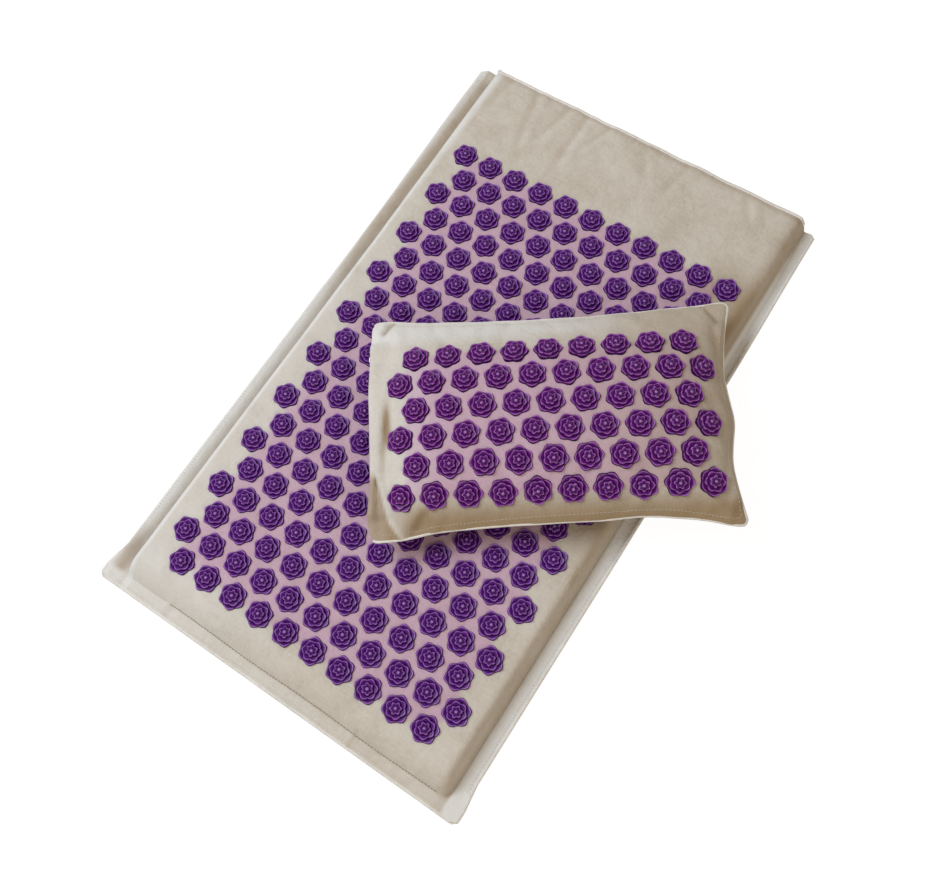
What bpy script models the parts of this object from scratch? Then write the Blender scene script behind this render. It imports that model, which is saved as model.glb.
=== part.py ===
# Acupressure mat with its pillow lying on it, modelled piece by piece.
# Metres, +Z up. The origin is the centre of the mat's underside, +X runs across the mat
# and +Y along it, towards the plain end where the cover opens.
import math
import random

import bmesh
import bpy
from mathutils import Matrix, Vector
from mathutils.bvhtree import BVHTree

# Clearances and cloth
seat_gap = 0.0003
cloth_thickness = 0.001
bag_cloth_thickness = 0.0005
crease_angle = math.radians(50)
overrun = 0.002

# Spike discs: a rosette of pointed petals round a central spike, in two rings
disc_diameter = 0.0298
disc_spacing = 0.0032
disc_height = 0.006
crown_seat_sink = 0.0005
petal_count = 6
valley_radius_share = 0.87
outer_peak_share = (0.93, 0.4)
inner_peak_share = (0.67, 0.66)
disc_turn_spread = math.radians(30)

# Mat
mat_rows = 20
mat_long_row = 11
mat_height = 0.024
left_margin = 0.0355
right_margin = 0.0335
near_margin = 0.0422
far_margin = 0.1185
side_flange = 0.023
near_flange = 0.017
flange_curl = 0.007
curl_draw_in = 0.007
corner_cut = 0.005
side_wall_run = 0.012
near_wall_run = 0.026
far_wall_run = 0.009
core_side_inset = 0.008
core_near_inset = 0.023
core_far_inset = 0.009
core_edge_radius = 0.007
core_corner_radius = 0.015

# Shape of the mat's cover. Flange: share of its width out from the seam, share of the curl.
# Walls: share of the run, share of the rise.
flange_shares = [(1.0, 1.0), (0.66, 0.42), (0.34, 0.08), (0.0, 0.0)]
side_wall_shares = [(0.21, 0.4), (0.5, 0.77), (0.75, 0.93), (1.0, 1.0)]
near_wall_shares = [(0.22, 0.38), (0.48, 0.7), (0.74, 0.91), (1.0, 1.0)]
far_wall_shares = [(1.0, 1.0), (0.35, 0.96)]
shoulder_share = 0.88
hem_start_share = 0.33
hem_full_share = 0.75

# Pillow
pillow_rows = 6
pillow_long_row = 10
pillow_end_margin = 0.030
pillow_side_margin = 0.044
pillow_crown = 0.033
pillow_belly = 0.0265
pillow_field_shift = 0.007
pillow_turn = math.radians(34.9)
pillow_place_shares = (0.42, 0.031)
far_draw_in = 0.007
near_draw_in = 0.012
right_draw_in = 0.006
end_hem_height = 0.006
bag_end_inset = 0.009
bag_side_inset = 0.007
bag_slack = 0.0004
fill_end_inset = 0.008
fill_side_inset = 0.007
fill_rim = 0.0006
fullness_share = 0.2
belly_fullness = 1.6
end_fall = 5.0
end_round = 0.75
side_fall = 3.0
side_round = 0.8

# Zip chain, in the cover's plain end and in the pillow's left end
coil_width = 0.0018
coil_depth = 0.0016
chain_gap = 0.0013
tape_thickness = 0.0005
hem_lean = 0.0004
stop_length = 0.002
mat_zip_end_margin = 0.006
pillow_zip_share = 0.74
pillow_hem_close_share = 0.06

# Stations of the pillow's faces, along from its left end and across
pillow_u_shares = [-0.94, -0.84, -0.66, -0.36, 0.0, 0.36, 0.66, 0.84, 0.94, 1.0]
pillow_v_half_shares = [0.42, pillow_zip_share, pillow_zip_share + pillow_hem_close_share, 0.9, 1.0]
pillow_v_shares = [-v for v in reversed(pillow_v_half_shares)] + [0.0] + pillow_v_half_shares

# Slider and its pull
slider_length = 0.009
slider_plate = 0.0008
slider_lip = 0.0007
slider_flare = 0.00045
post_length = 0.002
post_setback = 0.0005
bail_length = 0.005
bail_width = 0.002
bail_bar = 0.0007
bail_leg = 0.0009
pull_bar_diameter = 0.0009
pull_length = 0.017
pull_width = 0.0052
pull_tip_radius = 0.0017
pull_thickness = 0.0008
pull_arm = 0.0009
pull_hole_diameter = 0.0022

# Colours
linen = (0.72, 0.66, 0.58, 1)
violet = (0.19, 0.03, 0.42, 1)
foam = (0.86, 0.84, 0.78, 1)
calico = (0.85, 0.82, 0.76, 1)
husk = (0.22, 0.15, 0.1, 1)
tape_cream = (0.76, 0.71, 0.63, 1)
coil_cream = (0.82, 0.78, 0.7, 1)
nickel = (0.62, 0.61, 0.58, 1)

# Worked out from the sizes above
disc_radius = disc_diameter / 2
disc_pitch = disc_diameter + disc_spacing
row_pitch = disc_pitch * math.sqrt(3) / 2
mat_width = 2 * side_flange + left_margin + (mat_long_row - 1) * disc_pitch + right_margin
mat_length = near_flange + near_margin + (mat_rows - 1) * row_pitch + far_margin
half_width = mat_width / 2
half_length = mat_length / 2
seam_height = cloth_thickness + seat_gap
inner_top = mat_height - cloth_thickness
pad_rise = inner_top - seam_height
end_wall = half_length - cloth_thickness
shoulder_height = seam_height + pad_rise * shoulder_share
chain_half = chain_gap / 2 + coil_width
slider_half_height = chain_half + seat_gap + slider_lip + slider_flare
hem_clear = slider_half_height + seat_gap
zip_height = mat_height / 2
zip_depth = hem_lean + seat_gap + tape_thickness / 2
pillow_half_length = (pillow_long_row - 1) * disc_pitch / 2 + pillow_end_margin
pillow_half_width = (pillow_rows - 1) * row_pitch / 2 + pillow_side_margin
pillow_rest = mat_height + disc_height + seat_gap
pillow_seam = pillow_rest + cloth_thickness + pillow_belly + seat_gap / 2


def clear_scene():
    for item in list(bpy.data.objects):
        bpy.data.objects.remove(item, do_unlink=True)
    for block in list(bpy.data.meshes) + list(bpy.data.materials) + list(bpy.data.collections):
        bpy.data.batch_remove([block])


def new_collection(name):
    collection = bpy.data.collections.new(name)
    bpy.context.scene.collection.children.link(collection)
    return collection


def new_material(name, colour, roughness, metallic=0.0):
    material = bpy.data.materials.new(name)
    material.use_nodes = True
    shader = material.node_tree.nodes["Principled BSDF"]
    shader.inputs["Base Color"].default_value = colour
    shader.inputs["Roughness"].default_value = roughness
    shader.inputs["Metallic"].default_value = metallic
    material.diffuse_color = colour
    return material


def new_object(name, bm, material, collection, parent=None):
    bmesh.ops.recalc_face_normals(bm, faces=bm.faces)
    mesh = bpy.data.meshes.new(name)
    bm.to_mesh(mesh)
    bm.free()
    mesh.materials.append(material)
    item = bpy.data.objects.new(name, mesh)
    collection.objects.link(item)
    item.parent = parent
    return item


def as_cutter(item):
    item.hide_render = True
    item.display_type = 'WIRE'
    return item


def new_empty(name, collection, location, turn=0.0, parent=None):
    empty = bpy.data.objects.new(name, None)
    empty.location = location
    empty.rotation_euler = (0, 0, turn)
    empty.parent = parent
    collection.objects.link(empty)
    return empty


def boolean(item, other, operation, keep_materials=False):
    modifier = item.modifiers.new(operation.lower(), 'BOOLEAN')
    modifier.operation = operation
    modifier.solver = 'EXACT'
    modifier.object = other
    if keep_materials:
        modifier.material_mode = 'TRANSFER'
    return modifier


def thicken(item, thickness):
    modifier = item.modifiers.new("cloth", 'SOLIDIFY')
    modifier.thickness = thickness
    modifier.offset = 1
    modifier.use_even_offset = True
    modifier.thickness_clamp = 0
    return modifier


# A sheet of quads whose points are put in place by a rule of the column and the row
def sheet_mesh(columns, rows, place, faces_up=True):
    bm = bmesh.new()
    bmesh.ops.create_grid(bm, x_segments=columns - 1, y_segments=rows - 1, size=1)
    for vertex in bm.verts:
        column = round((vertex.co.x + 1) / 2 * (columns - 1))
        row = round((vertex.co.y + 1) / 2 * (rows - 1))
        vertex.co = Vector(place(column, row))
    if not faces_up:
        bmesh.ops.reverse_faces(bm, faces=bm.faces)
    return bm


def sheet_object(name, columns, rows, place, faces_up, material, collection, parent=None):
    bm = sheet_mesh(columns, rows, place, faces_up)
    mesh = bpy.data.meshes.new(name)
    bm.to_mesh(mesh)
    bm.free()
    mesh.shade_smooth()
    mesh.set_sharp_from_angle(angle=crease_angle)
    mesh.materials.append(material)
    item = bpy.data.objects.new(name, mesh)
    collection.objects.link(item)
    item.parent = parent
    return item


def add_box(bm, low, high):
    size = [high[k] - low[k] for k in range(3)]
    middle = [(high[k] + low[k]) / 2 for k in range(3)]
    matrix = Matrix.Translation(middle) @ Matrix.Diagonal((*size, 1))
    return bmesh.ops.create_cube(bm, size=1, matrix=matrix)["verts"]


def box_mesh(low, high):
    bm = bmesh.new()
    add_box(bm, low, high)
    return bm


# One rosette, a low cone of petals. Its outline runs from tip to valley to tip. Each tip has
# a raised point behind it, and each valley one of the inner ring, higher up.
# With a sink, the outline lies that deep in the cloth, on a flat foot.
def rosette_mesh(sink=0.0):
    bm = bmesh.new()
    bmesh.ops.create_circle(bm, cap_ends=True, segments=2 * petal_count, radius=disc_radius)
    rim = set(bm.verts)
    crown = bm.faces[:]
    ring = bmesh.ops.inset_individual(bm, faces=crown, thickness=disc_radius / 2)["faces"]
    spike = bmesh.ops.poke(bm, faces=crown)["verts"][0]
    if sink:
        bmesh.ops.contextual_create(bm, geom=[edge for edge in bm.edges if edge.is_boundary])
    split_at = set()
    for vertex in bm.verts:
        if vertex == spike:
            vertex.co.z = disc_height
            continue
        step = round(math.atan2(-vertex.co.x, vertex.co.y) / math.pi * petal_count)
        is_tip = step % 2 == 0
        if vertex in rim:
            radius_share, height = (1 if is_tip else valley_radius_share), -sink
        else:
            radius_share, height_share = outer_peak_share if is_tip else inner_peak_share
            height = disc_height * height_share
        if (vertex in rim) != is_tip:
            split_at.add(vertex)
        outward = Vector((vertex.co.x, vertex.co.y, 0)).normalized()
        vertex.co = outward * disc_radius * radius_share + Vector((0, 0, height))
    for face in ring:
        valley, peak = [vertex for vertex in face.verts if vertex in split_at]
        bmesh.utils.face_split(face, valley, peak)
    mesh = bpy.data.meshes.new("rosette")
    bm.to_mesh(mesh)
    bm.free()
    return mesh


# Every other row is one disc shorter and lies half a pitch over
def staggered_rows(rows, long_row, long_row_first):
    for row in range(rows):
        is_long = (row % 2 == 0) == long_row_first
        count = long_row if is_long else long_row - 1
        for column in range(count):
            yield row, column - (count - 1) / 2


def add_rosettes(bm, rosette, places):
    for place in places:
        start = len(bm.verts)
        bm.from_mesh(rosette)
        bm.verts.ensure_lookup_table()
        bmesh.ops.transform(bm, matrix=place, verts=bm.verts[start:])
    bpy.data.meshes.remove(rosette)


# The flat top of the cover is opened, and filled again round the outlines of the rosettes
def seat_on_flat_cloth(cover, places, material):
    graph = bpy.context.evaluated_depsgraph_get()
    bm = bmesh.new()
    bm.from_object(cover, graph)
    cover.modifiers.clear()
    upward = [face for face in bm.faces if face.normal.z > 0]
    field = max(upward, key=lambda face: face.calc_area())
    bmesh.ops.delete(bm, geom=[field], context='FACES_ONLY')
    cloth_faces = len(bm.faces)
    add_rosettes(bm, rosette_mesh(), places)
    bm.faces.ensure_lookup_table()
    for face in bm.faces[cloth_faces:]:
        face.material_index = 1
    outlines = [edge for edge in bm.edges if edge.is_boundary]
    bmesh.ops.triangle_fill(bm, use_beauty=True, edges=outlines)
    bmesh.ops.recalc_face_normals(bm, faces=bm.faces)
    bm.to_mesh(cover.data)
    bm.free()
    cover.data.materials.append(material)


# Mat: stations across, from the left rim to the right rim, as position, side, share of
# flange, share of curl and share of the wall's rise
def mat_columns():
    left = []
    for out, curl in flange_shares:
        left.append((half_width - side_flange * (1 - out), out, curl, 0.0))
    for run, rise in side_wall_shares:
        left.append((half_width - side_flange - side_wall_run * run, 0.0, 0.0, rise))
    columns = [(-x, -1, out, curl, rise) for x, out, curl, rise in left]
    columns += [(x, 1, out, curl, rise) for x, out, curl, rise in reversed(left)]
    return columns


# Stations along, from the near rim to the far end, as position, share of the curl that is
# left there, share of the rise, and whether the row is the cover's hem
def mat_rows_along():
    rows = [(-half_length, 0.0, 0.0, False),
            (-half_length + near_flange, 0.0, 0.0, False)]
    for run, rise in near_wall_shares:
        rows.append((-half_length + near_flange + near_wall_run * run, run, rise, False))
    for run, rise in far_wall_shares:
        rows.append((end_wall - far_wall_run * run, 1.0, rise, False))
    rows.append((end_wall - hem_lean, 1.0, shoulder_share, False))
    rows.append((end_wall, 1.0, shoulder_share, True))
    return rows


def rounded_rise(across, along):
    return max(0.0, 1 - math.hypot(1 - across, 1 - along))


def flange_point(column, y, curl_left, is_corner):
    x, side, out, curl, rise = column
    x -= side * curl_draw_in * curl * curl_left
    if is_corner:
        x -= side * corner_cut
    return x, y, flange_curl * curl * curl_left


def build_mat_top_cover(pieces, material, disc_material):
    columns = mat_columns()
    rows = mat_rows_along()

    def place(i, j):
        y, curl_left, rise, is_hem = rows[j]
        is_corner = j == 0 and i in (0, len(columns) - 1)
        x, y, lift = flange_point(columns[i], y, curl_left, is_corner)
        across = columns[i][4]
        if is_hem:
            opening = hem_clear if across == 1 else seat_gap / 2
            rise = (zip_height + opening - seam_height) / pad_rise
        return x, y, seam_height + lift + pad_rise * rounded_rise(across, rise)

    cover = sheet_object("mat_top_cover", len(columns), len(rows), place, True, material, pieces)
    thicken(cover, cloth_thickness)
    first_row = half_length - far_margin
    first_disc = -half_width + side_flange + left_margin
    middle = first_disc + (mat_long_row - 1) * disc_pitch / 2
    chance = random.Random(4)
    places = []
    for row, column in staggered_rows(mat_rows, mat_long_row, True):
        spot = Matrix.Translation((middle + column * disc_pitch, first_row - row * row_pitch,
                                   mat_height))
        turn = chance.uniform(-disc_turn_spread, disc_turn_spread)
        places.append(spot @ Matrix.Rotation(turn, 4, 'Z'))
    seat_on_flat_cloth(cover, places, disc_material)
    return cover


def build_mat_bottom_cover(pieces, material):
    columns = []
    for x, side, out, curl, rise in mat_columns():
        if rise == 0:
            columns.append((x, side, out, curl, 0.0))
    foot = half_width - side_flange
    hem_columns = [(foot - side_wall_run * hem_start_share, 0.0),
                   (foot - side_wall_run * hem_full_share, 0.5),
                   (foot - side_wall_run, 1.0)]
    left = [(-x, -1, 0.0, 0.0, hem) for x, hem in hem_columns]
    right = [(x, 1, 0.0, 0.0, hem) for x, hem in reversed(hem_columns)]
    middle = len(columns) // 2
    columns = columns[:middle] + left + right + columns[middle:]
    rows = [row[:2] for row in mat_rows_along() if not row[3]][:-2]
    rows += [(end_wall - hem_clear / 2, 1.0), (end_wall - hem_lean, 1.0), (end_wall, 1.0)]

    def place(i, j):
        y, curl_left = rows[j]
        is_corner = j == 0 and i in (0, len(columns) - 1)
        x, y, lift = flange_point(columns[i], y, curl_left, is_corner)
        hem = columns[i][4]
        if j == len(rows) - 1 and hem > 0:
            opening = hem_clear if hem == 1 else seat_gap / 2
            return x, y, zip_height - opening
        return x, y, cloth_thickness + lift

    cover = sheet_object("mat_bottom_cover", len(columns), len(rows), place, False, material,
                         pieces)
    thicken(cover, cloth_thickness)
    return cover


def build_mat_core(pieces, material):
    side = half_width - side_flange - core_side_inset
    low = (-side, -half_length + near_flange + core_near_inset, cloth_thickness + seat_gap)
    high = (side, end_wall - core_far_inset, inner_top - seat_gap)
    bm = box_mesh(low, high)
    upright = [edge for edge in bm.edges if abs(edge.verts[0].co.z - edge.verts[1].co.z) > seat_gap]
    bmesh.ops.bevel(bm, geom=upright, offset=core_corner_radius, segments=4, profile=0.5,
                    affect='EDGES')
    rim = [edge for edge in bm.edges
           if all(vertex.co.z > high[2] - seat_gap for vertex in edge.verts)]
    bmesh.ops.bevel(bm, geom=rim, offset=core_edge_radius, segments=3, profile=0.5,
                    affect='EDGES')
    return new_object("mat_core", bm, material, pieces)


# Pillow: heights of its two faces above and below the seam, for shares u along and v across
def end_shape(u):
    return max(0.0, 1 - abs(u) ** end_fall) ** end_round


def side_shape(v):
    return max(0.0, 1 - abs(v) ** side_fall) ** side_round


def crown_height(u, v, crown):
    return crown * (1 + fullness_share * u) * end_shape(u) * side_shape(v)


def belly_depth(u, v, belly):
    return belly * min(1.0, belly_fullness * end_shape(u) * side_shape(v))


def pillow_plan(u, v, half_long, half_wide):
    draw_end = right_draw_in if u > 0 else 0.0
    draw_side = far_draw_in if v > 0 else near_draw_in
    along = u * (half_long - draw_end * (1 - v * v))
    across = v * (half_wide - draw_side * (1 - u * u))
    return along, across


def build_pillow_cover(name, is_top, pieces, material, parent):
    sign = 1 if is_top else -1
    lean_share = -1 + hem_lean / pillow_half_length
    stations = [-1.0, lean_share] + pillow_u_shares

    def place(i, j):
        u = stations[i]
        v = pillow_v_shares[j]
        along, across = pillow_plan(u, v, pillow_half_length, pillow_half_width)
        swell = crown_height(u, v, pillow_crown) if is_top else belly_depth(u, v, pillow_belly)
        opens = abs(v) <= pillow_zip_share
        if i == 0:
            swell = hem_clear - seat_gap / 2 if opens else 0.0
        elif i == 1:
            swell = hem_clear + end_hem_height if opens else 0.0
        elif opens:
            swell = max(swell, hem_clear + end_hem_height)
        return along, across, sign * (seat_gap / 2 + swell)

    cover = sheet_object(name, len(stations), len(pillow_v_shares), place, is_top, material,
                         pieces, parent)
    thicken(cover, cloth_thickness)
    return cover


def build_bag_panel(name, is_top, pieces, material, parent):
    sign = 1 if is_top else -1
    stations = [-1.0] + pillow_u_shares
    drop = bag_cloth_thickness + seat_gap + bag_slack

    def place(i, j):
        u = stations[i]
        v = pillow_v_shares[j]
        along, across = pillow_plan(u, v, pillow_half_length - bag_end_inset,
                                    pillow_half_width - bag_side_inset)
        if is_top:
            swell = crown_height(u, v, pillow_crown - drop)
        else:
            swell = belly_depth(u, v, pillow_belly - drop)
        return along, across, sign * (seat_gap / 2 + swell)

    panel = sheet_object(name, len(stations), len(pillow_v_shares), place, is_top, material,
                         pieces, parent)
    thicken(panel, bag_cloth_thickness)
    return panel


def build_pillow_filling(pieces, material, parent):
    stations = [-1.0] + pillow_u_shares
    half_rim = fill_rim / 2
    drop = bag_cloth_thickness + 2 * (seat_gap + bag_slack) + half_rim
    half_long = pillow_half_length - bag_end_inset - fill_end_inset
    half_wide = pillow_half_width - bag_side_inset - fill_side_inset

    def upper(i, j):
        u, v = stations[i], pillow_v_shares[j]
        along, across = pillow_plan(u, v, half_long, half_wide)
        return along, across, half_rim + crown_height(u, v, pillow_crown - drop)

    def lower(i, j):
        u, v = stations[i], pillow_v_shares[j]
        along, across = pillow_plan(u, v, half_long, half_wide)
        return along, across, -half_rim - belly_depth(u, v, pillow_belly - drop)

    bm = sheet_mesh(len(stations), len(pillow_v_shares), upper)
    under = sheet_mesh(len(stations), len(pillow_v_shares), lower, False)
    under_mesh = bpy.data.meshes.new("filling underside")
    under.to_mesh(under_mesh)
    under.free()
    bm.from_mesh(under_mesh)
    bpy.data.meshes.remove(under_mesh)
    bmesh.ops.bridge_loops(bm, edges=[edge for edge in bm.edges if edge.is_boundary])
    return new_object("pillow_filling", bm, material, pieces, parent)


def crown_point(along, across):
    u = along / pillow_half_length
    draw_side = far_draw_in if across > 0 else near_draw_in
    v = across / (pillow_half_width - draw_side * (1 - u * u))
    height = crown_height(u, v, pillow_crown) + seat_gap / 2 + cloth_thickness
    return Vector((along, across, height))


# The row of discs is laid over the crown, so a distance along the cloth is walked in steps
def walk_crown(distance, direction):
    steps = 200
    stride = abs(distance) / steps
    position = 0.0
    heading = math.copysign(1, distance) if distance else 0.0
    for step in range(steps):
        here = crown_point(*(direction * position))
        ahead = crown_point(*(direction * (position + heading * stride)))
        flat = (ahead - here).xy.length
        if flat:
            position += heading * stride * flat / (ahead - here).length
    return position


# Each disc is seated on the cloth as it lies, at the place that the walk gives
def pillow_disc_places(cover):
    cloth = BVHTree.FromPolygons([vertex.co for vertex in cover.data.vertices],
                                 [polygon.vertices for polygon in cover.data.polygons])
    chance = random.Random(9)
    places = []
    step = disc_radius / 2
    down = Vector((0, 0, -1))
    for row, column in staggered_rows(pillow_rows, pillow_long_row, False):
        along = walk_crown(column * disc_pitch, Vector((1, 0)))
        across = walk_crown(((pillow_rows - 1) / 2 - row) * row_pitch, Vector((0, 1)))
        across -= pillow_field_shift
        slope_along = crown_point(along + step, across) - crown_point(along - step, across)
        slope_across = crown_point(along, across + step) - crown_point(along, across - step)
        outward = slope_along.cross(slope_across).normalized()
        turn = chance.uniform(-disc_turn_spread, disc_turn_spread)
        above = crown_point(along, across) - 2 * cloth_thickness * down
        seat = cloth.ray_cast(above, down)[0] + outward * cloth_thickness
        lean = down.rotation_difference(-outward).to_matrix().to_4x4()
        places.append(Matrix.Translation(seat) @ lean @ Matrix.Rotation(turn, 4, 'Z'))
    return places


# Slider: a block with a channel for the two coils and slots for the tapes. Its two plates
# are joined by the post that runs between the coils.
def build_slider(name, pieces, cutters, material, parent):
    half_channel = coil_depth / 2 + seat_gap
    half_depth = half_channel + slider_plate
    half_slot = tape_thickness / 2 + seat_gap
    channel_height = chain_half + seat_gap
    half_post = chain_gap / 2 - seat_gap
    front = slider_length / 2
    post_start = front - post_setback - post_length
    bm = box_mesh((-front, -half_depth, -slider_half_height),
                  (front, half_depth, slider_half_height))
    for vertex in bm.verts:
        if vertex.co.x < 0:
            vertex.co.z -= math.copysign(slider_flare, vertex.co.z)
    bmesh.ops.bevel(bm, geom=list(bm.edges), offset=seat_gap, segments=1, affect='EDGES')
    slider = new_object(name, bm, material, pieces, parent)
    reach = slider_half_height + overrun
    far = front + overrun
    channels = {
        "chain": [((-far, -half_channel, -channel_height),
                   (post_start, half_channel, channel_height))],
        "forks": [((post_start - seat_gap, -half_channel, half_post),
                   (far, half_channel, channel_height)),
                  ((post_start - seat_gap, -half_channel, -channel_height),
                   (far, half_channel, -half_post))],
        "slots": [((-far, -half_slot, channel_height - seat_gap), (far, half_slot, reach)),
                  ((-far, -half_slot, -reach), (far, half_slot, seat_gap - channel_height))],
        "nose": [((front - post_setback, -half_channel, -channel_height),
                  (far, half_channel, channel_height))],
    }
    for label, boxes in channels.items():
        bm = bmesh.new()
        for low, high in boxes:
            add_box(bm, low, high)
        cutter = as_cutter(new_object(f"{name}_{label}", bm, material, cutters, parent))
        boolean(slider, cutter, 'DIFFERENCE')
    bail_gap = pull_bar_diameter + 2 * seat_gap
    bail = box_mesh((-bail_length / 2, half_depth - seat_gap, -bail_width / 2),
                    (bail_length / 2, half_depth + bail_gap + bail_bar, bail_width / 2))
    bail_block = as_cutter(new_object(f"{name}_bail", bail, material, cutters, parent))
    boolean(slider, bail_block, 'UNION')
    eye = box_mesh((-bail_length / 2 + bail_leg, half_depth, -bail_width),
                   (bail_length / 2 - bail_leg, half_depth + bail_gap, bail_width))
    eye_block = as_cutter(new_object(f"{name}_eye", eye, material, cutters, parent))
    boolean(slider, eye_block, 'DIFFERENCE')
    return slider


# Pull: a flat tab with a window round the slider's bail and a round bar through the bail.
# Its origin is on the bar's axis, and it lies folded along the chain.
def build_pull(name, pieces, cutters, material, parent):
    bail_top = pull_bar_diameter / 2 + seat_gap + bail_bar
    window_end = math.hypot(bail_length / 2, bail_top) + seat_gap
    half_window = bail_width / 2 + seat_gap
    half_thick = pull_thickness / 2
    half_bar = pull_bar_diameter / 2
    frame_half = half_window + pull_arm
    half_width_of_pull = pull_width / 2
    bm = box_mesh((-pull_length, -half_thick, -half_width_of_pull),
                  (-window_end, half_thick, half_width_of_pull))
    tip = [edge for edge in bm.edges
           if all(vertex.co.x < -pull_length + seat_gap for vertex in edge.verts)
           and abs(edge.verts[0].co.y - edge.verts[1].co.y) > seat_gap]
    bmesh.ops.bevel(bm, geom=tip, offset=pull_tip_radius, segments=3, profile=0.5, affect='EDGES')
    pull = new_object(name, bm, material, pieces, parent)
    for side in (-1, 1):
        inner = side * half_window
        outer = side * frame_half
        arm = box_mesh((-window_end - pull_arm, -half_thick, min(inner, outer)),
                       (half_bar, half_thick, max(inner, outer)))
        arm_block = as_cutter(new_object(f"{name}_arm_{'low' if side < 0 else 'high'}", arm,
                                         material, cutters, parent))
        boolean(pull, arm_block, 'UNION')
    bar = bmesh.new()
    bmesh.ops.create_cone(bar, cap_ends=True, segments=12, radius1=half_bar, radius2=half_bar,
                          depth=2 * half_window + pull_arm)
    bar_block = as_cutter(new_object(f"{name}_bar", bar, material, cutters, parent))
    boolean(pull, bar_block, 'UNION')
    hole = bmesh.new()
    hole_place = Matrix.Translation((pull_hole_diameter + pull_arm - pull_length, 0, 0))
    bmesh.ops.create_cone(hole, cap_ends=True, segments=12, radius1=pull_hole_diameter / 2,
                          radius2=pull_hole_diameter / 2, depth=pull_thickness + 2 * overrun,
                          matrix=hole_place @ Matrix.Rotation(math.pi / 2, 4, 'X'))
    hole_block = as_cutter(new_object(f"{name}_hole", hole, material, cutters, parent))
    boolean(pull, hole_block, 'DIFFERENCE')
    return pull


# Zip in its own frame: +X along the chain to its closed end, +Y out of the cover, +Z up
def build_zip(prefix, chain_length, tape_top, pieces, cutters, materials, frame):
    tape_material, coil_material, metal = materials
    half_chain = chain_length / 2
    coil_radius = coil_width / 2
    coil_centre = chain_gap / 2 + coil_radius
    tape_start = chain_half + seat_gap
    for side, label in ((1, "upper"), (-1, "lower")):
        ends = sorted((side * tape_start, side * tape_top))
        tape = box_mesh((-half_chain - stop_length, -tape_thickness / 2, ends[0]),
                        (half_chain + stop_length, tape_thickness / 2, ends[1]))
        new_object(f"{prefix}_zip_tape_{label}", tape, tape_material, pieces, frame)
        coil = bmesh.new()
        bmesh.ops.create_cone(coil, cap_ends=True, segments=8, radius1=coil_radius,
                              radius2=coil_radius, depth=chain_length,
                              matrix=Matrix.Rotation(math.pi / 2, 4, 'Y'))
        bmesh.ops.scale(coil, vec=(1, coil_depth / coil_width, 1), verts=coil.verts)
        coil_object = new_object(f"{prefix}_zip_coil_{label}", coil, coil_material, pieces, frame)
        coil_object.location = (0, 0, side * coil_centre)
        ends = sorted((side * chain_gap / 2, side * chain_half))
        stop = box_mesh((half_chain + seat_gap, -coil_depth / 2, ends[0]),
                        (half_chain + stop_length, coil_depth / 2, ends[1]))
        new_object(f"{prefix}_zip_top_stop_{label}", stop, metal, pieces, frame)
    low_stop = box_mesh((-half_chain - stop_length, -coil_depth / 2, -chain_half),
                        (-half_chain - seat_gap, coil_depth / 2, chain_half))
    new_object(f"{prefix}_zip_bottom_stop", low_stop, metal, pieces, frame)
    slider_rest = half_chain - slider_length / 2
    slider_frame = new_empty(f"{prefix}_slider_place", pieces, (slider_rest, 0, 0), 0.0, frame)
    build_slider(f"{prefix}_zip_slider", pieces, cutters, metal, slider_frame)
    pull_out = coil_depth / 2 + seat_gap + slider_plate + seat_gap + pull_bar_diameter / 2
    pull_frame = new_empty(f"{prefix}_pull_place", pieces, (slider_rest, pull_out, 0), 0.0, frame)
    build_pull(f"{prefix}_zip_pull", pieces, cutters, metal, pull_frame)


def main():
    clear_scene()
    pieces = new_collection("acupressure_mat")
    cutters = new_collection("cutters")
    cover_cloth = new_material("linen cloth", linen, 0.9)
    disc_plastic = new_material("violet plastic", violet, 0.35)
    core_foam = new_material("foam", foam, 0.95)
    bag_cloth = new_material("calico", calico, 0.9)
    filling = new_material("buckwheat husks", husk, 0.9)
    zip_materials = (new_material("zip tape", tape_cream, 0.85),
                     new_material("nylon coil", coil_cream, 0.5),
                     new_material("nickel", nickel, 0.35, 1.0))

    build_mat_top_cover(pieces, cover_cloth, disc_plastic)
    build_mat_bottom_cover(pieces, cover_cloth)
    build_mat_core(pieces, core_foam)
    mat_zip = new_empty("mat_zip_place", pieces, (0, end_wall - zip_depth, zip_height))
    chain_length = 2 * (half_width - side_flange - side_wall_run - mat_zip_end_margin)
    build_zip("mat", chain_length, shoulder_height - seat_gap - zip_height, pieces, cutters,
              zip_materials, mat_zip)

    place_x, place_y = pillow_place_shares
    pillow = new_empty("pillow_place", pieces,
                       (half_width * place_x, half_length * place_y, pillow_seam), pillow_turn)
    top = build_pillow_cover("pillow_top_cover", True, pieces, cover_cloth, pillow)
    discs = bmesh.new()
    add_rosettes(discs, rosette_mesh(crown_seat_sink), pillow_disc_places(top))
    discs_block = as_cutter(new_object("pillow_discs", discs, disc_plastic, cutters, pillow))
    boolean(top, discs_block, 'UNION', keep_materials=True)
    build_pillow_cover("pillow_bottom_cover", False, pieces, cover_cloth, pillow)
    build_bag_panel("pillow_bag_upper", True, pieces, bag_cloth, pillow)
    build_bag_panel("pillow_bag_lower", False, pieces, bag_cloth, pillow)
    build_pillow_filling(pieces, filling, pillow)
    pillow_zip = new_empty("pillow_zip_place", pieces, (zip_depth - pillow_half_length, 0, 0),
                           math.pi / 2, pillow)
    pillow_chain = 2 * (pillow_half_width * pillow_zip_share - mat_zip_end_margin)
    build_zip("pillow", pillow_chain, hem_clear + end_hem_height - seat_gap, pieces, cutters,
              zip_materials, pillow_zip)
    bpy.context.view_layer.update()


main()
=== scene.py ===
import math
import random

import bmesh
import bpy
import numpy as np
from mathutils import Matrix, Vector, noise
from mathutils.bvhtree import BVHTree


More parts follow.
